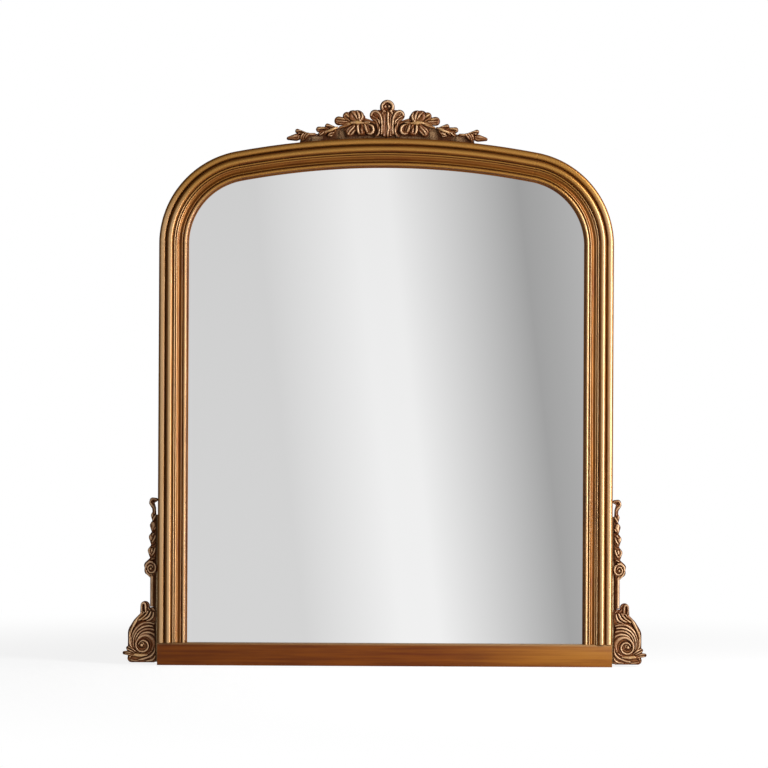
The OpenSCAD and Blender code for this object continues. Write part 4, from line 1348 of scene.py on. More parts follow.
def palmette(settings):
    """The middle of the crest: a ringed head over a reeded shaft with two curled shoulders."""
    arms = [(0, 26, 0, 50.5, 8, 12), (0, 26, 0, 13, 9, 12)]
    for s in (1, -1):
        arms += [(0, 24, s * 19.5, 37.5, 8, 9), (0, 30, s * 13, 40.2, 8, 6)]
        arms += [(s * 13, 8, s * 18.6, 4.2, 3, 2.2), (s * 12, 10, s * 17, 24, 3, 2.4)]
        arms += [(s * 17, 24, s * 36, 31, 2.4, 1.8)]
    foot = crown_top(0)
    relief = Relief(shifted(arms, 0, foot), 4.4, settings, bottom=foot + 2)

    def up(points):
        """Points measured from the crown's edge."""
        return [(u, v + foot) for u, v in points]

    def pair(points, *shape):
        """A reed and its mirror image."""
        for line in both(points):
            relief.reed(up(line), *shape)

    relief.swell(7.2, 4)
    pair(
        [(15, 3), (14.2, 12), (15.6, 22), (18.5, 28), (24, 30.6), (36, 30.4)], (1.8, 1.7, 2.2, 1.5),
        (6.2, 6.8, 6.8, 5.4), 0.9, 0.16,
    )
    pair(
        [(19.5, 1.5), (15.5, 5), (13, 11), (12.5, 20), (13.4, 28), (16, 31.5), (20, 34.6), (25.6, 37)],
        (1.6, 1.5, 1.6, 1.9, 1.5), (7, 7.4, 8, 8.4, 7.4), 1.2, 0.2,
    )
    pair([(15.4, 33.4), (18.6, 37), (21.4, 38.4)], (1.3, 1.7, 1.2), (8, 8.4, 7.6), 1.0, 0.12)
    outer = [
        (10.8, 4), (9, 9.5), (8.6, 20), (9.2, 29), (11.2, 36), (14.6, 41), (19, 43.4), (23.4, 42),
        (26.4, 37.6),
    ]
    pair(outer, (1.8, 1.8, 1.9, 2.3, 1.9), (7.6, 8.2, 9.4, 9.8, 8.2), 1.5, (0.2, 0.26, 0.34, 0.24))
    pair([(11.6, 31), (14, 35.6), (18, 39.6), (22, 39.8)], (0.7, 1.0, 1.1, 0.7), 8.4, 0.8, 0.06)
    for line in both([(13.6, 30.6), (17, 35.2), (22, 36.2)]):
        relief.cut(up(line), (0.5, 1.1, 0.6), 2.6)
    shaft = [(0.6, 3), (1, 10), (2.6, 17), (1.6, 24), (1, 32), (1.4, 44)]
    relief.reed(
        up(shaft), (1.6, 1.9, 2.4, 2.0, 1.9, 2.4), (7, 8, 9.2, 8.8, 8.8), 1.3,
        (0.1, 0.26, 0.34, 0.22, 0.16),
    )
    pair(
        [(5.3, 4), (5.8, 14), (5.2, 24), (5.2, 34), (6.6, 41)], (1.2, 1.4, 1.3, 1.0),
        (6.4, 7.2, 7.2, 6.4), 0.7, 0.1,
    )
    relief.cut(up([(0, 50.5)]), 7.8, 3.2, 0.16)
    relief.reed(
        up(arc((0.3, 50.9), 8.7, -56, 236, 30)), 2.3, 10.4, 1.2, (0.12, 0.26, 0.34, 0.24, 0.12), over=True
    )
    pair([(5.6, 44.4), (7.2, 42), (8.8, 38.6)], (1.5, 1.3, 0.9), (9, 7.6, 6.6), 0.8)
    for spot in ((-3.4, 51.2), (2.9, 51.8)):
        relief.reed(up([spot]), 2.3, 7.6, 0.9, 0.3, over=True)
    relief.finish(settings.crest_rise)
    place_carving("crest_palmette", relief)


def crest_leaf(settings):
    """The large acanthus leaf beside the palmette: rounded lobes that fan from a boss."""
    tips = [
        (2.4, 34.8, 5, 11.6), (9, 35.6, 5, 10.6), (19, 36.3, 4, 7), (32.3, 28.8, 3.5, 7.2),
        (30, 18.3, 3, 2),
    ]
    tips += [(21, 13.8, 3, 3), (15.5, 8.4, 4, 6), (-4.5, 13.8, 6, 9), (-18, 14.8, 4, 8.8)]
    arms = [*fanned((0, 26), tips, 46), (46, 886, 41.8, 884.8, 9, 6.6), (37, 880.6, 29, 879.6, 4, 3)]
    relief = Relief(arms, 4.2, settings)
    relief.swell(7.6, 3)
    relief.lobe((58, 879, 78.4, 881, 4, 6.6), 7.8, 2.4, 0.2)
    relief.reed(
        [(58, 880.4), (66, 882.6), (74, 883.4), (81, 884)], (1.2, 1.9, 2.2, 1.6), 8.8, 0.6,
        (0.14, 0.26, 0.3, 0.12), (0.5, 0.6, 0.3),
    )
    relief.reed(
        [(59, 878), (67, 878.6), (75, 879.4), (82, 880)], (1.2, 1.7, 1.8, 1.3), 8.4, 0.9,
        (0.14, 0.22, 0.2, 0.1),
    )
    relief.reed([(62, 875.6), (70, 875.2), (78, 875.6)], (1.2, 1.6, 1.2), 7.4, 0.8, (0.1, 0.16, 0.06))
    relief.lobe((54, 879, 65, 888.4, 4, 6.6), 8.4, 2.4, 0.22, 0.12)
    relief.reed(
        [(55.4, 881.4), (61, 886.4), (67, 890.4)], (1.4, 2.2, 1.7), 9.4, 0.6, (0.1, 0.22, 0.26),
        (0, 0.3, 0.5),
    )
    relief.cut([(58.6, 880.8), (63.4, 884), (69, 886.8)], (0.6, 1.2, 0.7), 2.4, 0.26)
    relief.cut([(52.6, 882), (56.4, 887.4), (61.6, 892.6)], (0.7, 1.3, 0.8), 2.6, 0.3)
    relief.lobe((48, 879, 52, 887.4, 5, 9.4), 9.2, 3.0, 0.16, 0.06)
    relief.reed([(48.4, 883), (51.4, 888.6), (56.4, 894)], (1.4, 2.6, 1.9), 9.9, 0.4, (0.1, 0.16, 0.1))
    relief.cut([(52.4, 885.4), (55, 889.4), (59, 893)], (0.5, 1.0, 0.5), 1.8, 0.2)
    relief.reed([(45, 882), (45.6, 888), (48.6, 895)], (1.6, 2.9, 1.8), 9.8, 0.5, (0.34, 0.2, 0.06))
    relief.cut([(48, 884), (48.8, 889.6), (51.4, 894.8)], (0.5, 1.1, 0.6), 1.8, 0.24)
    relief.reed(
        [(42.6, 880.4), (40.8, 884.6), (40.4, 889), (42, 893.4)], (1.7, 2.0, 2.1, 1.3),
        (9.8, 9.8, 9.2, 8), 1.0, (0.4, 0.3, 0.2, 0.08),
    )
    relief.cut([(37.8, 882), (36.8, 885.4), (38.2, 889)], (0.6, 1.2, 0.6), 2.0, 0.24)
    relief.reed(
        [(57, 877), (64, 874.6), (70, 872.2), (78, 869.4)], (2.4, 2.9, 2.8, 2.0), (8.8, 7.8, 7, 6), 1.0,
        (0.3, 0.2, 0.16, 0.14), (0.5, 0.3, 0.4),
    )
    relief.lobe((50, 873, 60.4, 862, 4.8, 6.4), 8.2, 2.2, 0.25, 0.1)
    relief.reed(
        [(52, 872), (56.6, 867.6), (61, 862.6), (62.8, 858.4)], (1.3, 2.0, 1.9, 1.3), (8.8, 9, 8.4, 7.4),
        0.9, (0.14, 0.26, 0.34, 0.2),
    )
    relief.reed(
        [(51, 865.6), (54.6, 861.6), (58, 857.8)], (1.2, 1.6, 1.2), (8.4, 8.2, 7.2), 0.9,
        (0.1, 0.24, 0.16),
    )
    relief.reed([(58.6, 870.8), (63.4, 866.6), (66.6, 861.6)], (1.2, 1.7, 1.2), 7.8, 0.9, (0.1, 0.2, 0.1))
    relief.lobe((45, 873, 42.2, 865.2, 5.8, 8.0), 8.8, 2.4, 0.3, 0.06)
    relief.reed(
        [(47.6, 873), (47.4, 866), (45.4, 859)], (1.6, 2.1, 1.5), (9.4, 9.6, 8.2), 0.7, (0.34, 0.42, 0.24)
    )
    relief.reed([(41.4, 872), (41, 866.4), (41, 860.4)], (1.6, 2.4, 1.6), 9.2, 0.6, (0.06, 0.1, 0.04))
    relief.cut([(44.4, 871.4), (44.2, 866), (43.2, 861)], (0.5, 1.1, 0.6), 2.2, 0.26)
    relief.lobe((40, 875, 28.4, 867.2, 4, 8.4), 8.6, 2.2, 0.35, 0.06)
    curl = [(38, 877), (31.6, 877), (26.2, 874.2), (22.6, 868.4), (23, 862), (27.6, 858.8), (33, 860.6)]
    relief.reed(
        curl, (2.0, 2.5, 2.3, 2.1, 2.0, 1.5), (9.6, 9.4, 9.2, 8.8, 8.6, 8), 1.1,
        (0.3, 0.34, 0.3, 0.3, 0.3, 0.2), (0.5, 0.2, 0, 0),
    )
    relief.reed(
        [(36.4, 874), (34.6, 868), (32.4, 862.6)], (1.6, 2.4, 1.6), 8.8, 0.8, (0.14, 0.2, 0.16),
        (0.2, 0.3, 0),
    )
    relief.cut([(31, 873.6), (28, 869.4), (27.6, 864)], (0.6, 1.4, 0.9), 2.6, 0.3)
    relief.cut([(38, 873.6), (37.4, 867), (36.4, 860)], (0.6, 1.1, 0.7), 2.2, 0.3)
    # Yellow gilding on the boss and a bright spot at its eye, both painted highlights.
    relief.reed(
        [(39, 876.4), (43, 877.4), (48, 877.4), (53, 877.8), (58, 877)], (1.9, 3.2, 3.9, 3.0, 2.2),
        (9.4, 10.2, 10.4, 10, 9.2), 0.6, 0.2, (0.4, 0.7, 0.7, 0.6),
    )
    relief.reed([(44, 880.6)], 1.7, 10.2, 0.3, 0.44)
    relief.finish(settings.crest_rise)
    place_carving("crest_leaf", relief)


def crest_spray(settings):
    """The smaller spray between the leaf and the tip."""
    tips = [
        (4.5, 22.7, 3, 4.2), (18.5, 17.2, 3, 4.6), (16.5, 9.7, 3, 3.4), (0, 8.7, 3, 4.6),
        (-11.3, 19.8, 2.6, 2.2),
    ]
    relief = Relief(fanned((-8, 18.7), tips, 92), 3.8, settings)
    relief.swell(6.6, 2.4)
    relief.lobe((86, 869, 96, 872.2, 3, 3.9), 7.8, 1.5, 0.2)
    relief.reed([(87, 871), (92, 872), (98, 872.6)], (1.0, 1.6, 1.2), 8.4, 0.7, 0.2)
    relief.cut([(90, 869.4), (95, 869.6), (100, 869)], (0.4, 1.0, 0.5), 2.2)
    relief.lobe((97, 866, 110.2, 866.6, 3.2, 4.2), 7.6, 1.4, 0.2)
    relief.reed(
        [(101, 867.8), (106, 868), (111.4, 867.4)], (0.9, 1.5, 1.6), 8.4, 0.8, (0.14, 0.22, 0.36), 0.5
    )
    relief.cut([(100, 865), (105, 865.2), (110, 864.4)], (0.6, 1.1, 0.6), 2.4)
    relief.lobe((96, 864, 107.6, 859.4, 3.6, 3.0), 7.0, 1.2, 0.25)
    relief.reed(
        [(98, 864.6), (102.6, 861.4), (107, 858), (109.2, 856)], (1.2, 1.5, 1.2, 0.7), (8.2, 8, 7.2, 6),
        1.0, (0.2, 0.34, 0.24, 0.1),
    )
    relief.reed(
        [(95.6, 862.4), (99, 860), (102.4, 857)], (1.0, 1.3, 0.8), (7.8, 7.4, 6), 0.9, (0.2, 0.3, 0.14)
    )
    relief.lobe((86, 864, 91.6, 858.4, 3.6, 3.9), 7.0, 1.3, 0.25)
    relief.reed(
        [(86.6, 861), (91, 859.8), (94.6, 857), (96.4, 853.6)], (1.1, 1.5, 1.3, 0.8), (7.6, 8.2, 7.6, 6),
        0.9, (0.2, 0.34, 0.24, 0.1),
    )
    relief.reed([(89.4, 855.6), (92.6, 856)], (1.0, 1.2), 7, 0.7, 0.2)
    relief.reed(
        [(79.6, 869.6), (84, 868.2), (88.4, 866.2), (92.4, 864.4), (97, 863), (100, 861.4)],
        (1.6, 2.3, 2.5, 2.2, 1.5), (6.4, 8.4, 9.2, 9, 7.6), 1.1, (0.12, 0.3, 0.34, 0.26),
        (0.3, 0.7, 0.6, 0.3),
    )
    relief.finish(settings.crest_rise, 1.9)
    place_carving("crest_spray", relief)


def crest_tip(settings):
    """The end piece that overhangs the crown."""
    tips = [(5, 18.5, 2.6, 3.8), (-3, 6, 2.6, 3.4), (-22.6, 13.6, 2.6, 2.2)]
    leaf_end = shifted([(-12, 13, 7, 8.6, 3.4, 5.8), (7, 8.6, 19.8, 6.8, 5.8, 2.7)], 140, crown_top(140))
    relief = Relief([*fanned((-12, 13), tips, 140), *leaf_end], 3.8, settings)
    relief.swell(6.4, 2.4)
    relief.lobe((146.6, 854, 159, 852.4, 5.2, 2.4), 7.4, 1.5, 0.22, 0.12)
    relief.reed(
        [(142, 855.6), (148, 855.2), (157, 853)], (1.2, 2.6, 1.4), (7, 8, 7), 0.5, (0.1, 0.2, 0.1)
    )
    relief.cut([(141, 857), (144.6, 856.4)], (0.5, 0.9), 2.0)
    relief.lobe((132, 860, 145, 863.8, 3, 3.5), 7.4, 1.3, 0.25)
    relief.reed([(136, 862.6), (141, 864), (146.4, 864)], (0.9, 1.5, 1.3), 8.2, 0.8, (0.14, 0.3, 0.2))
    relief.cut([(136, 860.4), (141, 861.4), (146, 861)], (0.5, 0.9, 0.5), 2.2)
    relief.reed([(143, 859.4)], 1.5, 7.6, 0.7, 0.3)
    stalk = [(116.4, 859), (121, 858.4), (126, 859), (131, 860.8), (137, 863)]
    relief.reed(
        stalk, (1.6, 2.0, 2.5, 2.2, 1.2), (6, 7.2, 8.8, 8.8, 7.4), 1.0, (0.1, 0.2, 0.36, 0.26, 0.12),
        (0, 0.3, 0.6, 0.2),
    )
    fringe = [
        [(127, 857.8), (130.4, 855.4), (132.6, 851.6)],
        [(131.6, 859), (134.8, 855.4), (136.4, 850.4)],
        [(136, 858.6), (138.8, 854.6), (139.4, 851)],
    ]
    for line in fringe:
        relief.reed(line, (1.5, 1.8, 1.2), (8.2, 7.6, 6.2), 0.7, (0.16, 0.14, 0.04))
    relief.finish(settings.crest_rise, 1.9)
    place_carving("crest_tip", relief)


def scroll(settings):
    """The foot scroll: a coiled volute, shell ribs that fan from it and a leaf up its outer side."""
    arms = [
        (26, 38, 26, 50, 22, 22), (26, 50, 24.5, 62, 22, 17), (24.5, 62, 20.5, 77, 17, 9.5),
        (20, 82, 20.4, 95, 8.4, 7.5),
    ]
    arms += [
        (25, 30.5, 26, 38, 22, 22), (25, 30.5, 8, 9, 22, 6), (8, 9, 42, 10, 5.6, 6.6),
        (25.5, 40, 42, 12, 22.5, 6),
    ]
    arms += [(42, 18, 47.5, 26.4, 4.4, 3.4), (42, 18, 53.7, 18.6, 4.6, 2.8), (12, 70, 9, 85.8, 9, 7)]
    relief = Relief(shifted(arms, EDGE_X, 0), 3.4, settings, left=EDGE_X + 2.4, bottom=3.4, top=102.6)
    relief.swell(4.6, 3)
    ribs = [
        (
            [(371, 68), (378, 70), (386, 70), (394, 67), (401.6, 61), (407.4, 52.6), (410, 43)],
            (0.8, 1.0, 1.2, 1.3, 1.1, 0.8), 6.0, 0.12,
        ),
        (
            [
                (372, 65.6), (378, 67.4), (386, 67.8), (394, 65), (401, 59), (406, 51), (409, 43),
                (408.6, 34), (405.6, 27),
            ],
            (1.2, 1.5, 1.7, 1.9, 1.7, 1.4, 1.0), 6.6, (0.14, 0.22, 0.24, 0.28, 0.2),
        ),
        (
            [
                (371.4, 60.6), (378, 62.4), (386, 62), (393, 59.4), (399.6, 54.4), (404, 47), (406, 39),
                (405.6, 31), (403, 25),
            ],
            (1.2, 1.6, 1.9, 1.6, 1.4, 1.2, 0.9), 6.8, (0.2, 0.34, 0.3, 0.2, 0.14),
        ),
        (
            [
                (370.4, 54.6), (376, 57), (384, 57.6), (390, 56), (396.6, 51.6), (401, 45), (403, 37),
                (402.6, 29.6), (400, 24),
            ],
            (1.4, 1.8, 1.9, 1.5, 1.3, 1.1, 0.9), 6.8, (0.1, 0.16, 0.2, 0.2, 0.12),
        ),
        (
            [
                (370.4, 45.6), (374, 49.6), (380, 51.8), (386, 51.6), (391, 50), (395.6, 46.6),
                (398.6, 42.6),
            ],
            (1.2, 1.6, 1.9, 2.1, 1.6, 1.0), 7.2, (0.12, 0.2, 0.36, 0.44, 0.3),
        ),
    ]
    for line, half, top, light in ribs:
        relief.reed(line, half, top, 1.5, light)
    leaf = [
        (
            [
                (393, 84), (396.6, 79), (401.8, 71.4), (407, 61.6), (410.8, 52), (412, 42), (411.4, 33),
                (408, 26.6), (404, 21.6),
            ],
            (1.6, 2.2, 2.6, 2.3, 1.9, 1.8, 1.6, 1.1), (7.2, 7.8, 7.8, 7.2, 6.8, 6.4),
            (0.4, 0.4, 0.5, 0.44, 0.36, 0.26, 0.14), (0.1, 0.3, 0.4, 0.1, 0),
        ),
        (
            [
                (388.6, 84.6), (392.6, 79.8), (397.4, 75.8), (401.4, 71), (405.4, 64), (408.8, 55),
                (409.8, 46),
            ],
            (1.4, 1.6, 2.0, 2.2, 1.6, 1.2, 0.7), (7.2, 7.4, 7.4, 7, 6.4),
            (0.3, 0.2, 0.3, 0.36, 0.24, 0.12), (0, 0.2, 0.4, 0.1, 0),
        ),
        (
            [(382.8, 86), (386.4, 79.6), (391.4, 75), (397, 72)], (1.4, 1.8, 1.9, 1.5), 7.2,
            (0.2, 0.3, 0.3, 0.3), (0, 0.2, 0.5),
        ),
        (
            [(378, 85.4), (380.8, 79.2), (385, 74.8), (391.4, 71.6)], (1.5, 1.9, 1.9, 1.3), 7.0,
            (0.24, 0.34, 0.3, 0.2), (0, 0, 0.3),
        ),
        (
            [(373.6, 84), (374.8, 78), (378.8, 73), (385, 70.4)], (1.5, 1.9, 1.6, 1.0), 6.6,
            (0.2, 0.24, 0.12),
        ),
    ]
    for line, half, top, light, *gold in leaf:
        relief.reed(line, half, top, 1.4, light, *gold)
    gouges = [
        [(386.4, 85), (389.6, 81.8), (394, 77.8), (397.6, 74.8)],
        [(379.8, 86), (382.8, 81.4), (387.2, 77.2), (391.2, 74.6)],
        [
            (376.4, 84), (378, 78), (381.6, 74), (388, 71.4), (396, 69.4), (403, 62.4), (408, 53),
            (410, 44),
        ],
    ]
    for line in gouges:
        relief.cut(line, (0.6, 1.2, 1.1, 0.6), 2.4, 0.3)
    coil = [
        (375.6, 24), (372.8, 31), (374, 38.6), (378.8, 44.4), (385.6, 47.2), (392, 46), (398, 41.8),
        (401.6, 35.4), (401.8, 28.6), (398.6, 23.4), (393, 20.8), (387.4, 21.8), (383, 26), (382.2, 31.6),
        (385.2, 36.8), (390.4, 38.8), (395, 36.8), (397.6, 32.8),
    ]
    half = (2.0, 3.1, 3.5, 3.0, 2.4, 2.0, 1.8, 1.6, 1.5, 1.5, 1.6, 1.6, 1.5, 1.4, 1.2, 0.9)
    relief.reed(
        coil, half, (6.2, 6.4, 6.6, 6.8, 7, 7, 7, 7.2, 7.4, 7.4), 1.6,
        (0.1, 0.1, 0.12, 0.26, 0.3, 0.24, 0.2, 0.22, 0.34, 0.3, 0.34, 0.3, 0.2),
    )
    relief.cut(
        [
            (381.6, 25), (379.6, 30.6), (381.4, 37), (386.2, 41.2), (392.4, 41.8), (397.4, 37.4),
            (399.2, 31),
        ],
        (0.5, 0.8, 1.0, 1.1, 1.2, 0.9, 0.5), 2.6, 0.3,
    )
    relief.reed(
        [(376.6, 22), (381, 18.6), (387.6, 17.2), (393.6, 17.8)], (1.0, 1.5, 1.4, 1.0), 6.4, 1.1, 0.12
    )
    relief.reed([(388.6, 31), (390, 34.6), (393.4, 35.4)], (0.9, 1.1, 0.8), 6.6, 0.8, 0.16)
    relief.reed([(393, 31.2)], 2.6, 7.8, 1.6, 0.34, 0.2, over=True)
    relief.cut([(387, 28.4), (391.4, 26.8), (396.4, 28), (398.4, 31.4)], (0.5, 1.2, 1.2, 0.6), 2.8)
    feet = [
        (
            [(384, 15.6), (390, 15), (397, 14.8), (404, 15.8), (409.6, 14.8), (412, 11.8)],
            (1.5, 2.2, 2.6, 2.6, 2.2, 1.2), 7.4, (0.2, 0.34, 0.4, 0.34, 0.3, 0.16),
            (0.2, 0.5, 0.6, 0.5, 0.2),
        ),
        (
            [(370.6, 29), (372, 21.4), (376, 15.6), (382.6, 11.8), (390, 9.2), (398, 7.6)],
            (1.1, 1.5, 1.8, 1.8, 1.6, 1.0), 6.6, (0.1, 0.24, 0.34, 0.3, 0.36, 0.2),
        ),
        (
            [(370.2, 14.4), (373, 9.6), (378, 6.9), (386, 5.6)], (1.1, 1.7, 1.6, 0.9), 5.8,
            (0.14, 0.28, 0.3, 0.1),
        ),
        ([(398, 5.8), (404, 6), (410, 7.4)], (0.8, 1.3, 1.0), 5.6, 0.16),
    ]
    for line, half, top, light, *gold in feet:
        relief.reed(line, half, top, 1.5, light, *gold)
    knobs = [
        [(402, 20.6), (408.4, 25.4), (414.4, 28.4)],
        [(405, 19.4), (411, 22.4), (416, 25)],
        [(407, 17.2), (414, 19.4), (420.6, 20.4)],
        [(408.6, 15.4), (414, 16.2), (419.6, 16.8)],
    ]
    for line in knobs:
        relief.reed(line, (1.1, 1.5, 1.3), (5.8, 6.6, 5.8), 1.1, (0.1, 0.2, 0.16))
    relief.cut([(421.4, 18.8)], 1.3, 2.4)
    relief.reed(
        [(372.6, 87.4), (376.6, 92.4), (380.4, 95.6), (384.4, 99.6)], (1.3, 1.8, 1.8, 1.3),
        (5.8, 6.4, 6.4, 5.8), 1.0, (0.1, 0.12, 0.1, 0.04),
    )
    relief.reed([(379.4, 88), (382.6, 92)], (1.0, 1.2), 6.2, 0.8, 0.14)
    curl = [
        (386.2, 84.6), (386.8, 92), (387.4, 97), (390, 99.6), (392.8, 97.8), (393.3, 92), (392.6, 85.6)
    ]
    relief.reed(
        curl, (1.3, 1.6, 1.8, 1.9, 1.6, 1.4, 1.2), (6.8, 7.4, 7.8, 7.8, 7.4, 6.8), 1.2,
        (0.24, 0.3, 0.34, 0.4, 0.36, 0.14, 0.06),
    )
    relief.cut([(389.4, 95.6), (390, 91.6), (390.2, 86.6)], (1.4, 1.0, 0.4), 3.2)
    # A painted highlight of yellow gilding on the scroll's foot.
    relief.gild((399, 14.8), (10, 4), 0.5)
    relief.finish(settings.side_rise, 2.0)
    place_carving("scroll", relief)


def stem(settings):
    """The reeded stem between the scroll and the drop."""
    low, high = corners("right_stem")
    left, right = low[0], high[0]
    middle = (left + right) / 2
    arms = [(middle, low[2] - 6, middle, high[2] + 6, (right - left) / 2, (right - left) / 2 + 0.001)]
    relief = Relief(arms, 2.2, settings, bottom=low[2], top=high[2])
    relief.reed([(right - 2.8, low[2] - 5), (right - 2.8, high[2] + 5)], 2.7, 6.4, 1.0, 0.22)
    relief.reed([(left + 0.8, low[2] - 5), (left + 0.8, high[2] + 5)], 0.8, 3.6, 0.4, 0.02)
    relief.finish(settings.side_rise, 1.1)
    place_carving("stem", relief)


def drop(settings):
    """Four husks under a crook, over a small volute with a leaf tail."""
    heights = (246, 231, 213, 192, 168)
    arms = [(6, 243, 8.2, 172, 3, 4.6)]
    for k, (top, below) in enumerate(zip(heights, heights[1:])):
        u, half = 7.6 + 0.8 * k, 4.2 + 0.8 * k
        widest = top - 0.34 * (top - below)
        arms.append((u, widest, u, below + 2, half, 2.2))
        arms.append((u, top - 1.5, u, widest, 2.6, half))
    arms += [
        (11, 155, 11.001, 155, 10.6, 10.6), (15, 160, 10.8, 170, 7.5, 3), (14, 152, 9, 145.5, 8, 3.4)
    ]
    arms += [(15, 150, 9.6, 140.6, 5.4, 2.2)]
    arms += [(6, 243, 6.8, 253, 2.9, 3.2), (6.8, 253, 10.4, 261, 3.2, 4.4)]
    arms += [(10.4, 261, 9, 265, 4.4, 4.9), (9, 265, 3.3, 266.2, 4.9, 3)]
    top_v = corners("right_drop")[1][2]
    relief = Relief(shifted(arms, EDGE_X, 0), 3.0, settings, left=EDGE_X + 0.2, top=top_v)
    relief.swell(4.2, 2)
    blobs = [
        ([(376.6, 243.6), (376.4, 240)], 2.6),
        ([(370.6, 241), (373.4, 237.6), (375, 234)], 1.5),
        ([(375.6, 227.6), (374.6, 223), (375.6, 219.4)], 3.4),
        ([(370.6, 222), (373, 218.6)], 1.2),
        ([(378.6, 207.6), (378.6, 203)], 3.2),
        ([(371, 208), (373.2, 203), (376, 198.6)], 1.6),
        ([(374.4, 212), (376.4, 209)], 1.4),
        ([(380, 187.6), (381.6, 183), (377.4, 176.6)], 2.2),
        ([(371.2, 188), (373.6, 182), (376.4, 177)], 1.7),
        ([(376.6, 186.6), (377.4, 182.4)], 1.9),
        ([(373, 171.6), (377, 169.6), (381.6, 167.4)], 1.6),
    ]
    for line, half in blobs:
        relief.reed(line, half, 6.8, 1.1, (0.22, 0.3, 0.16))
    for k, (top, below) in enumerate(zip(heights, heights[1:])):
        lip = [(370 + 0.4 * k, below + 5), (373 + k, below + 0.6), (378 + k, below + 1.6)]
        relief.cut(lip, (0.7, 1.4, 0.7), 2.4)
    line = [
        (377, 144.6), (381.6, 146), (385.4, 149.4), (387, 155), (386, 161.4), (381, 165.6), (375, 165),
        (371.4, 160),
    ]
    line += [
        (371, 154), (373.4, 150), (378, 148.6), (382.4, 151), (383.4, 156), (381, 160), (377.4, 160.6),
        (375, 157.4),
    ]
    relief.reed(
        line, (1.2, 1.7, 1.8, 1.9, 1.8, 1.6, 1.4, 1.2, 1.0), (5.8, 6.4, 6.8, 6.8, 7, 7, 7.2), 1.5,
        (0.2, 0.24, 0.3, 0.36, 0.34, 0.24, 0.2, 0.16),
    )
    relief.reed(
        [(386.6, 153), (384.6, 147.6), (380.6, 142.8), (376.4, 139.4)], (1.0, 1.5, 1.4, 1.0), 6.2, 1.0,
        (0.2, 0.3, 0.16),
    )
    relief.reed([(378.6, 155)], 2.0, 7.7, 1.0, 0.4, 0.2, over=True)
    crook = [
        (373.4, 244), (372.8, 250), (374.6, 255), (379, 259.6), (379.8, 264), (376.6, 267.4),
        (371.6, 267.4), (369, 265.4),
    ]
    relief.reed(
        crook, (1.5, 1.7, 1.8, 1.8, 1.7, 1.6, 1.3), (5.4, 6, 6.4, 6.8, 6.8, 6, 5.2), 0.9,
        (0.06, 0.1, 0.2, 0.3, 0.24, 0.12, 0.1),
    )
    relief.cut([(374.6, 263.4)], 1.8, 3.0)
    relief.finish(settings.side_rise, 1.6)
    place_carving("drop", relief)


def build_crest(settings):
    """The seven carved pieces of the crest."""
    for carve in (palmette, crest_leaf, crest_spray, crest_tip):
        carve(settings)


def build_side_carving(settings):
    """The scroll, stem and drop of each side."""
    for carve in (scroll, stem, drop):
        carve(settings)


# Stage

# Grey levels that the glass mirrors: along a slanting line across the glass, in millimetres
# from the camera's axis, and for wide angles, from hard left at -1 to hard right at 1.
SWEEP = ((-171, 210), (-13, 238), (45, 238), (258, 161), (297, 168), (360, 182), (900, 205))
WIDE_SWEEP = ((-1, 60), (-0.6, 84), (-0.2, 140), (0.15, 190), (0.5, 236), (0.85, 250), (1, 180))
# Half of SWEEP_SPAN lies to the left of the axis and one and a half to the right. The line
# slants by SWEEP_SLANT, and GLASS_MIDDLE is the height at which it isn't moved.
SWEEP_SPAN = 1000.0
SWEEP_SLANT = 0.12
GLASS_MIDDLE = 429
# Metres: how far behind the wall plane the sweep is taken, and how far out the frame's face
# lies. A direction's depth is kept above the least one, so nothing is divided by 0.
SWEEP_BEHIND = 0.02
FACE_DEPTH = 0.025
LEAST_DEPTH = 0.02
# The floor's reach to each side and to the front, and behind the wall plane, in millimetres.
FLOOR_HALF = 3000
FLOOR_BACK = 2000
# Lamps: place, target, width and height in metres, and whether they show in gloss.
LAMPS = {
    "lamp_right": ((1.15, -0.95, 0.7), (0, 0, 0.45), 0.5, 1.8, True),
    "lamp_left": ((-1.2, -1.4, 0.7), (0, 0, 0.45), 0.5, 1.8, True),
    "lamp_fill": ((0.3, -2.2, 0.1), (0, 0, 0.5), 2.0, 0.8, False),
}


def add_lamp(name, power):
    """A soft lamp from its row, turned towards its target."""
    spot, target, width, height, mirrored = LAMPS[name]
    lamp = bpy.data.lights.new(name, "AREA")
    lamp.shape = "RECTANGLE"
    lamp.size, lamp.size_y = width, height
    lamp.energy = power
    made = bpy.data.objects.new(name, lamp)
    made.location = spot
    made.visible_camera = False
    made.visible_glossy = mirrored
    bpy.context.scene.collection.objects.link(made)
    made.rotation_euler = (Vector(target) - made.location).to_track_quat("-Z", "Y").to_euler()


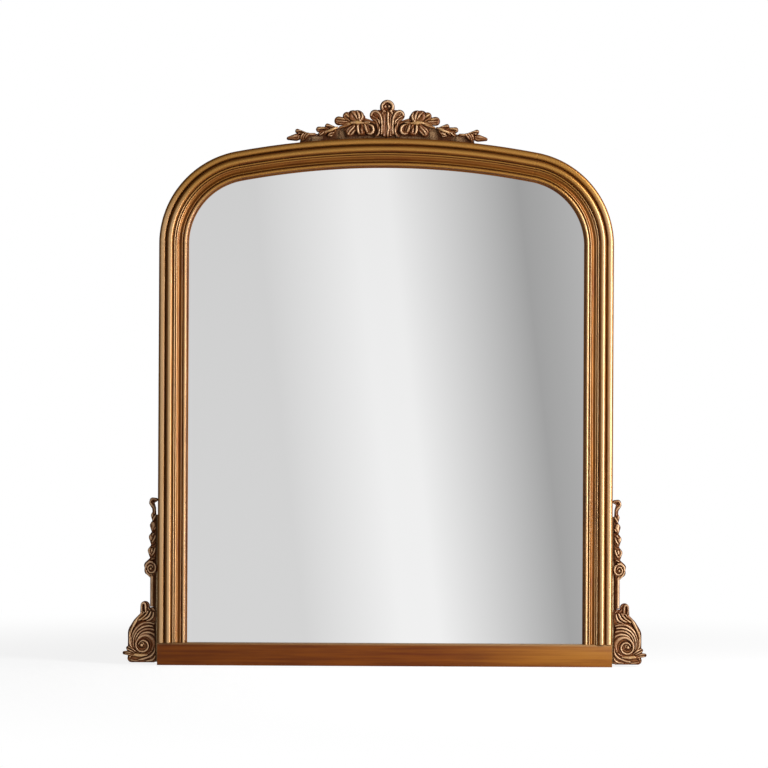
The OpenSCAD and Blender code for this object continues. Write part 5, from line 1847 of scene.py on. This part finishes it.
def build_world(settings):
    """White to the camera, even light on the object and a soft grey sweep in the glass."""
    world = bpy.data.worlds.new("studio")
    bpy.context.scene.world = world
    world.use_nodes = True
    world.node_tree.nodes.clear()
    g = Graph(world.node_tree)
    x, y, z = g.axes(g.node("ShaderNodeTexCoord", output="Generated"))
    depth = abs(y).high(LEAST_DEPTH)
    slope = x / depth
    reach = (settings.camera_distance + SWEEP_BEHIND) / MM
    height = z / depth * reach
    sweep = slope * reach + (height + (settings.aim_z / MM - GLASS_MIDDLE)) * SWEEP_SLANT
    stops = [((at + SWEEP_SPAN / 2) / (2 * SWEEP_SPAN), grey(level)) for at, level in SWEEP]
    ramp = g.ramp(stops, (sweep + SWEEP_SPAN / 2) / (2 * SWEEP_SPAN))
    wide = g.ramp([(at / 2 + 0.5, grey(level)) for at, level in WIDE_SWEEP], x * 0.5 + 0.5)
    ramp = g.mix(abs(slope).smooth(0.15, 0.6), ramp, wide)
    rays = g.node("ShaderNodeLightPath", output="Is Camera Ray")
    shiny = g.also(rays, "Is Glossy Ray").high(g.also(rays, "Is Transmission Ray"))
    overhead = z.smooth(-0.1, 0.7)
    even = g.even((1 - overhead * 0.6) * settings.sky)
    ramp = g.mix(overhead * 0.7, ramp, grey(60))
    seen = g.mix(rays, g.mix(shiny, even, ramp), grey(255))
    back = g.node("ShaderNodeBackground", {}, {"Color": seen, "Strength": 1 + shiny * 0.27})
    g.node("ShaderNodeOutputWorld", {}, {"Surface": back})


def build_floor():
    """A pale floor, white to the camera but for the object's shadow."""
    points = [(x, y, 0) for y in (-FLOOR_HALF, FLOOR_BACK) for x in (-FLOOR_HALF, FLOOR_HALF)]
    floor = show("studio_floor", mesh_of("studio_floor", points, [(0, 1, 3, 2)]))
    material = bpy.data.materials.new("pale_floor")
    material.use_nodes = True
    material.node_tree.nodes.clear()
    g = Graph(material.node_tree)
    place = g.node("ShaderNodeTexCoord", output="Object")
    away = g.node("ShaderNodeVectorMath", {"operation": "LENGTH"}, {0: place}, output="Value")
    far = away.smooth(0.5, 1.5)
    camera = g.node("ShaderNodeLightPath", output="Is Camera Ray")
    matt = g.node("ShaderNodeBsdfDiffuse", {}, {"Color": g.even(0.86 + camera * 0.64)})
    glow = g.node("ShaderNodeEmission", {}, {"Strength": 1.0})
    share = camera * (0.8 + far * 0.2)
    mixed = g.node("ShaderNodeMixShader", {}, {0: share, 1: matt, 2: glow})
    g.node("ShaderNodeOutputMaterial", {}, {"Surface": mixed})
    floor.data.materials.append(material)
    floor.visible_glossy = False


def build_camera(settings):
    """A camera straight in front, whose view width holds at the frame's face."""
    camera = bpy.data.cameras.new("camera")
    away = settings.camera_distance - FACE_DEPTH
    camera.lens = camera.sensor_width * away / settings.view_width
    made = bpy.data.objects.new("camera", camera)
    made.location = (settings.aim_x, -settings.camera_distance, settings.aim_z)
    made.rotation_euler = (math.pi / 2, -settings.roll, 0)
    bpy.context.scene.collection.objects.link(made)
    bpy.context.scene.camera = made


# Operators


class OVERMANTEL_OT_stage(bpy.types.Operator):
    """Add the camera, the lamps, the even light and the floor"""

    bl_idname = "overmantel.stage"
    bl_label = "Studio"

    def execute(self, context):
        settings = context.scene.mirror_stage
        context.scene.view_settings.view_transform = "Standard"
        build_camera(settings)
        build_world(settings)
        build_floor()
        powers = (settings.lamp_power, settings.left_power, settings.fill_power)
        for name, power in zip(LAMPS, powers):
            add_lamp(name, power)
        return {"FINISHED"}


class OVERMANTEL_OT_mouldings(bpy.types.Operator):
    """Sweep the stiles, the round corners and the crown rail from one section"""

    bl_idname = "overmantel.mouldings"
    bl_label = "Gilded mouldings"

    def execute(self, context):
        build_mouldings(context.scene.mirror_moulding)
        return {"FINISHED"}


class OVERMANTEL_OT_base_rail(bpy.types.Operator):
    """Make the stained base rail"""

    bl_idname = "overmantel.base_rail"
    bl_label = "Base rail"

    def execute(self, context):
        build_base_rail(context.scene.mirror_moulding)
        return {"FINISHED"}


class OVERMANTEL_OT_crest(bpy.types.Operator):
    """Carve the palmette, the leaves, the sprays and the tips of the crest"""

    bl_idname = "overmantel.crest"
    bl_label = "Carved crest"

    def execute(self, context):
        build_crest(context.scene.mirror_carving)
        return {"FINISHED"}


class OVERMANTEL_OT_side_carving(bpy.types.Operator):
    """Carve the scrolls, the stems and the husk drops of both sides"""

    bl_idname = "overmantel.side_carving"
    bl_label = "Side carving"

    def execute(self, context):
        build_side_carving(context.scene.mirror_carving)
        return {"FINISHED"}


class OVERMANTEL_OT_back(bpy.types.Operator):
    """Finish the back panel, the grounds, the glass and the pieces inside"""

    bl_idname = "overmantel.back"
    bl_label = "Back, grounds and glass"

    def execute(self, context):
        build_back()
        return {"FINISHED"}


class OVERMANTEL_OT_fixings(bpy.types.Operator):
    """Make the slotted screws and the felt bumpers"""

    bl_idname = "overmantel.fixings"
    bl_label = "Screws and bumpers"

    def execute(self, context):
        build_fixings()
        return {"FINISHED"}


class OVERMANTEL_OT_hangers(bpy.types.Operator):
    """Make the strap hangers and their D rings"""

    bl_idname = "overmantel.hangers"
    bl_label = "Hangers and D rings"

    def execute(self, context):
        build_hangers()
        return {"FINISHED"}


OPERATORS = (
    OVERMANTEL_OT_stage,
    OVERMANTEL_OT_mouldings,
    OVERMANTEL_OT_base_rail,
    OVERMANTEL_OT_crest,
    OVERMANTEL_OT_side_carving,
    OVERMANTEL_OT_back,
    OVERMANTEL_OT_fixings,
    OVERMANTEL_OT_hangers,
)


class OVERMANTEL_PT_mirror(bpy.types.Panel):
    """Settings and builders of the overmantel mirror"""

    bl_idname = "OVERMANTEL_PT_mirror"
    bl_label = "Overmantel mirror"
    bl_space_type = "VIEW_3D"
    bl_region_type = "UI"
    bl_category = "Mirror"

    def draw(self, context):
        for name, kind in SETTINGS.items():
            box = self.layout.box()
            box.label(text=name.replace("_", " ").capitalize())
            for field in kind.__annotations__:
                box.prop(getattr(context.scene, name), field)
        for operator in OPERATORS:
            self.layout.operator(operator.bl_idname)


CLASSES = (*SETTINGS.values(), *OPERATORS, OVERMANTEL_PT_mirror)


def register():
    """Adds the classes and the settings."""
    for kind in CLASSES:
        bpy.utils.register_class(kind)
    for name, kind in SETTINGS.items():
        setattr(bpy.types.Scene, name, PointerProperty(type=kind))


def unregister():
    """Takes the settings and the classes away again."""
    for name in SETTINGS:
        delattr(bpy.types.Scene, name)
    for kind in reversed(CLASSES):
        bpy.utils.unregister_class(kind)


def main():
    """Builds every piece in order."""
    register()
    for operator in OPERATORS:
        group, name = operator.bl_idname.split(".")
        getattr(getattr(bpy.ops, group), name)()


if __name__ == "__main__":
    main()
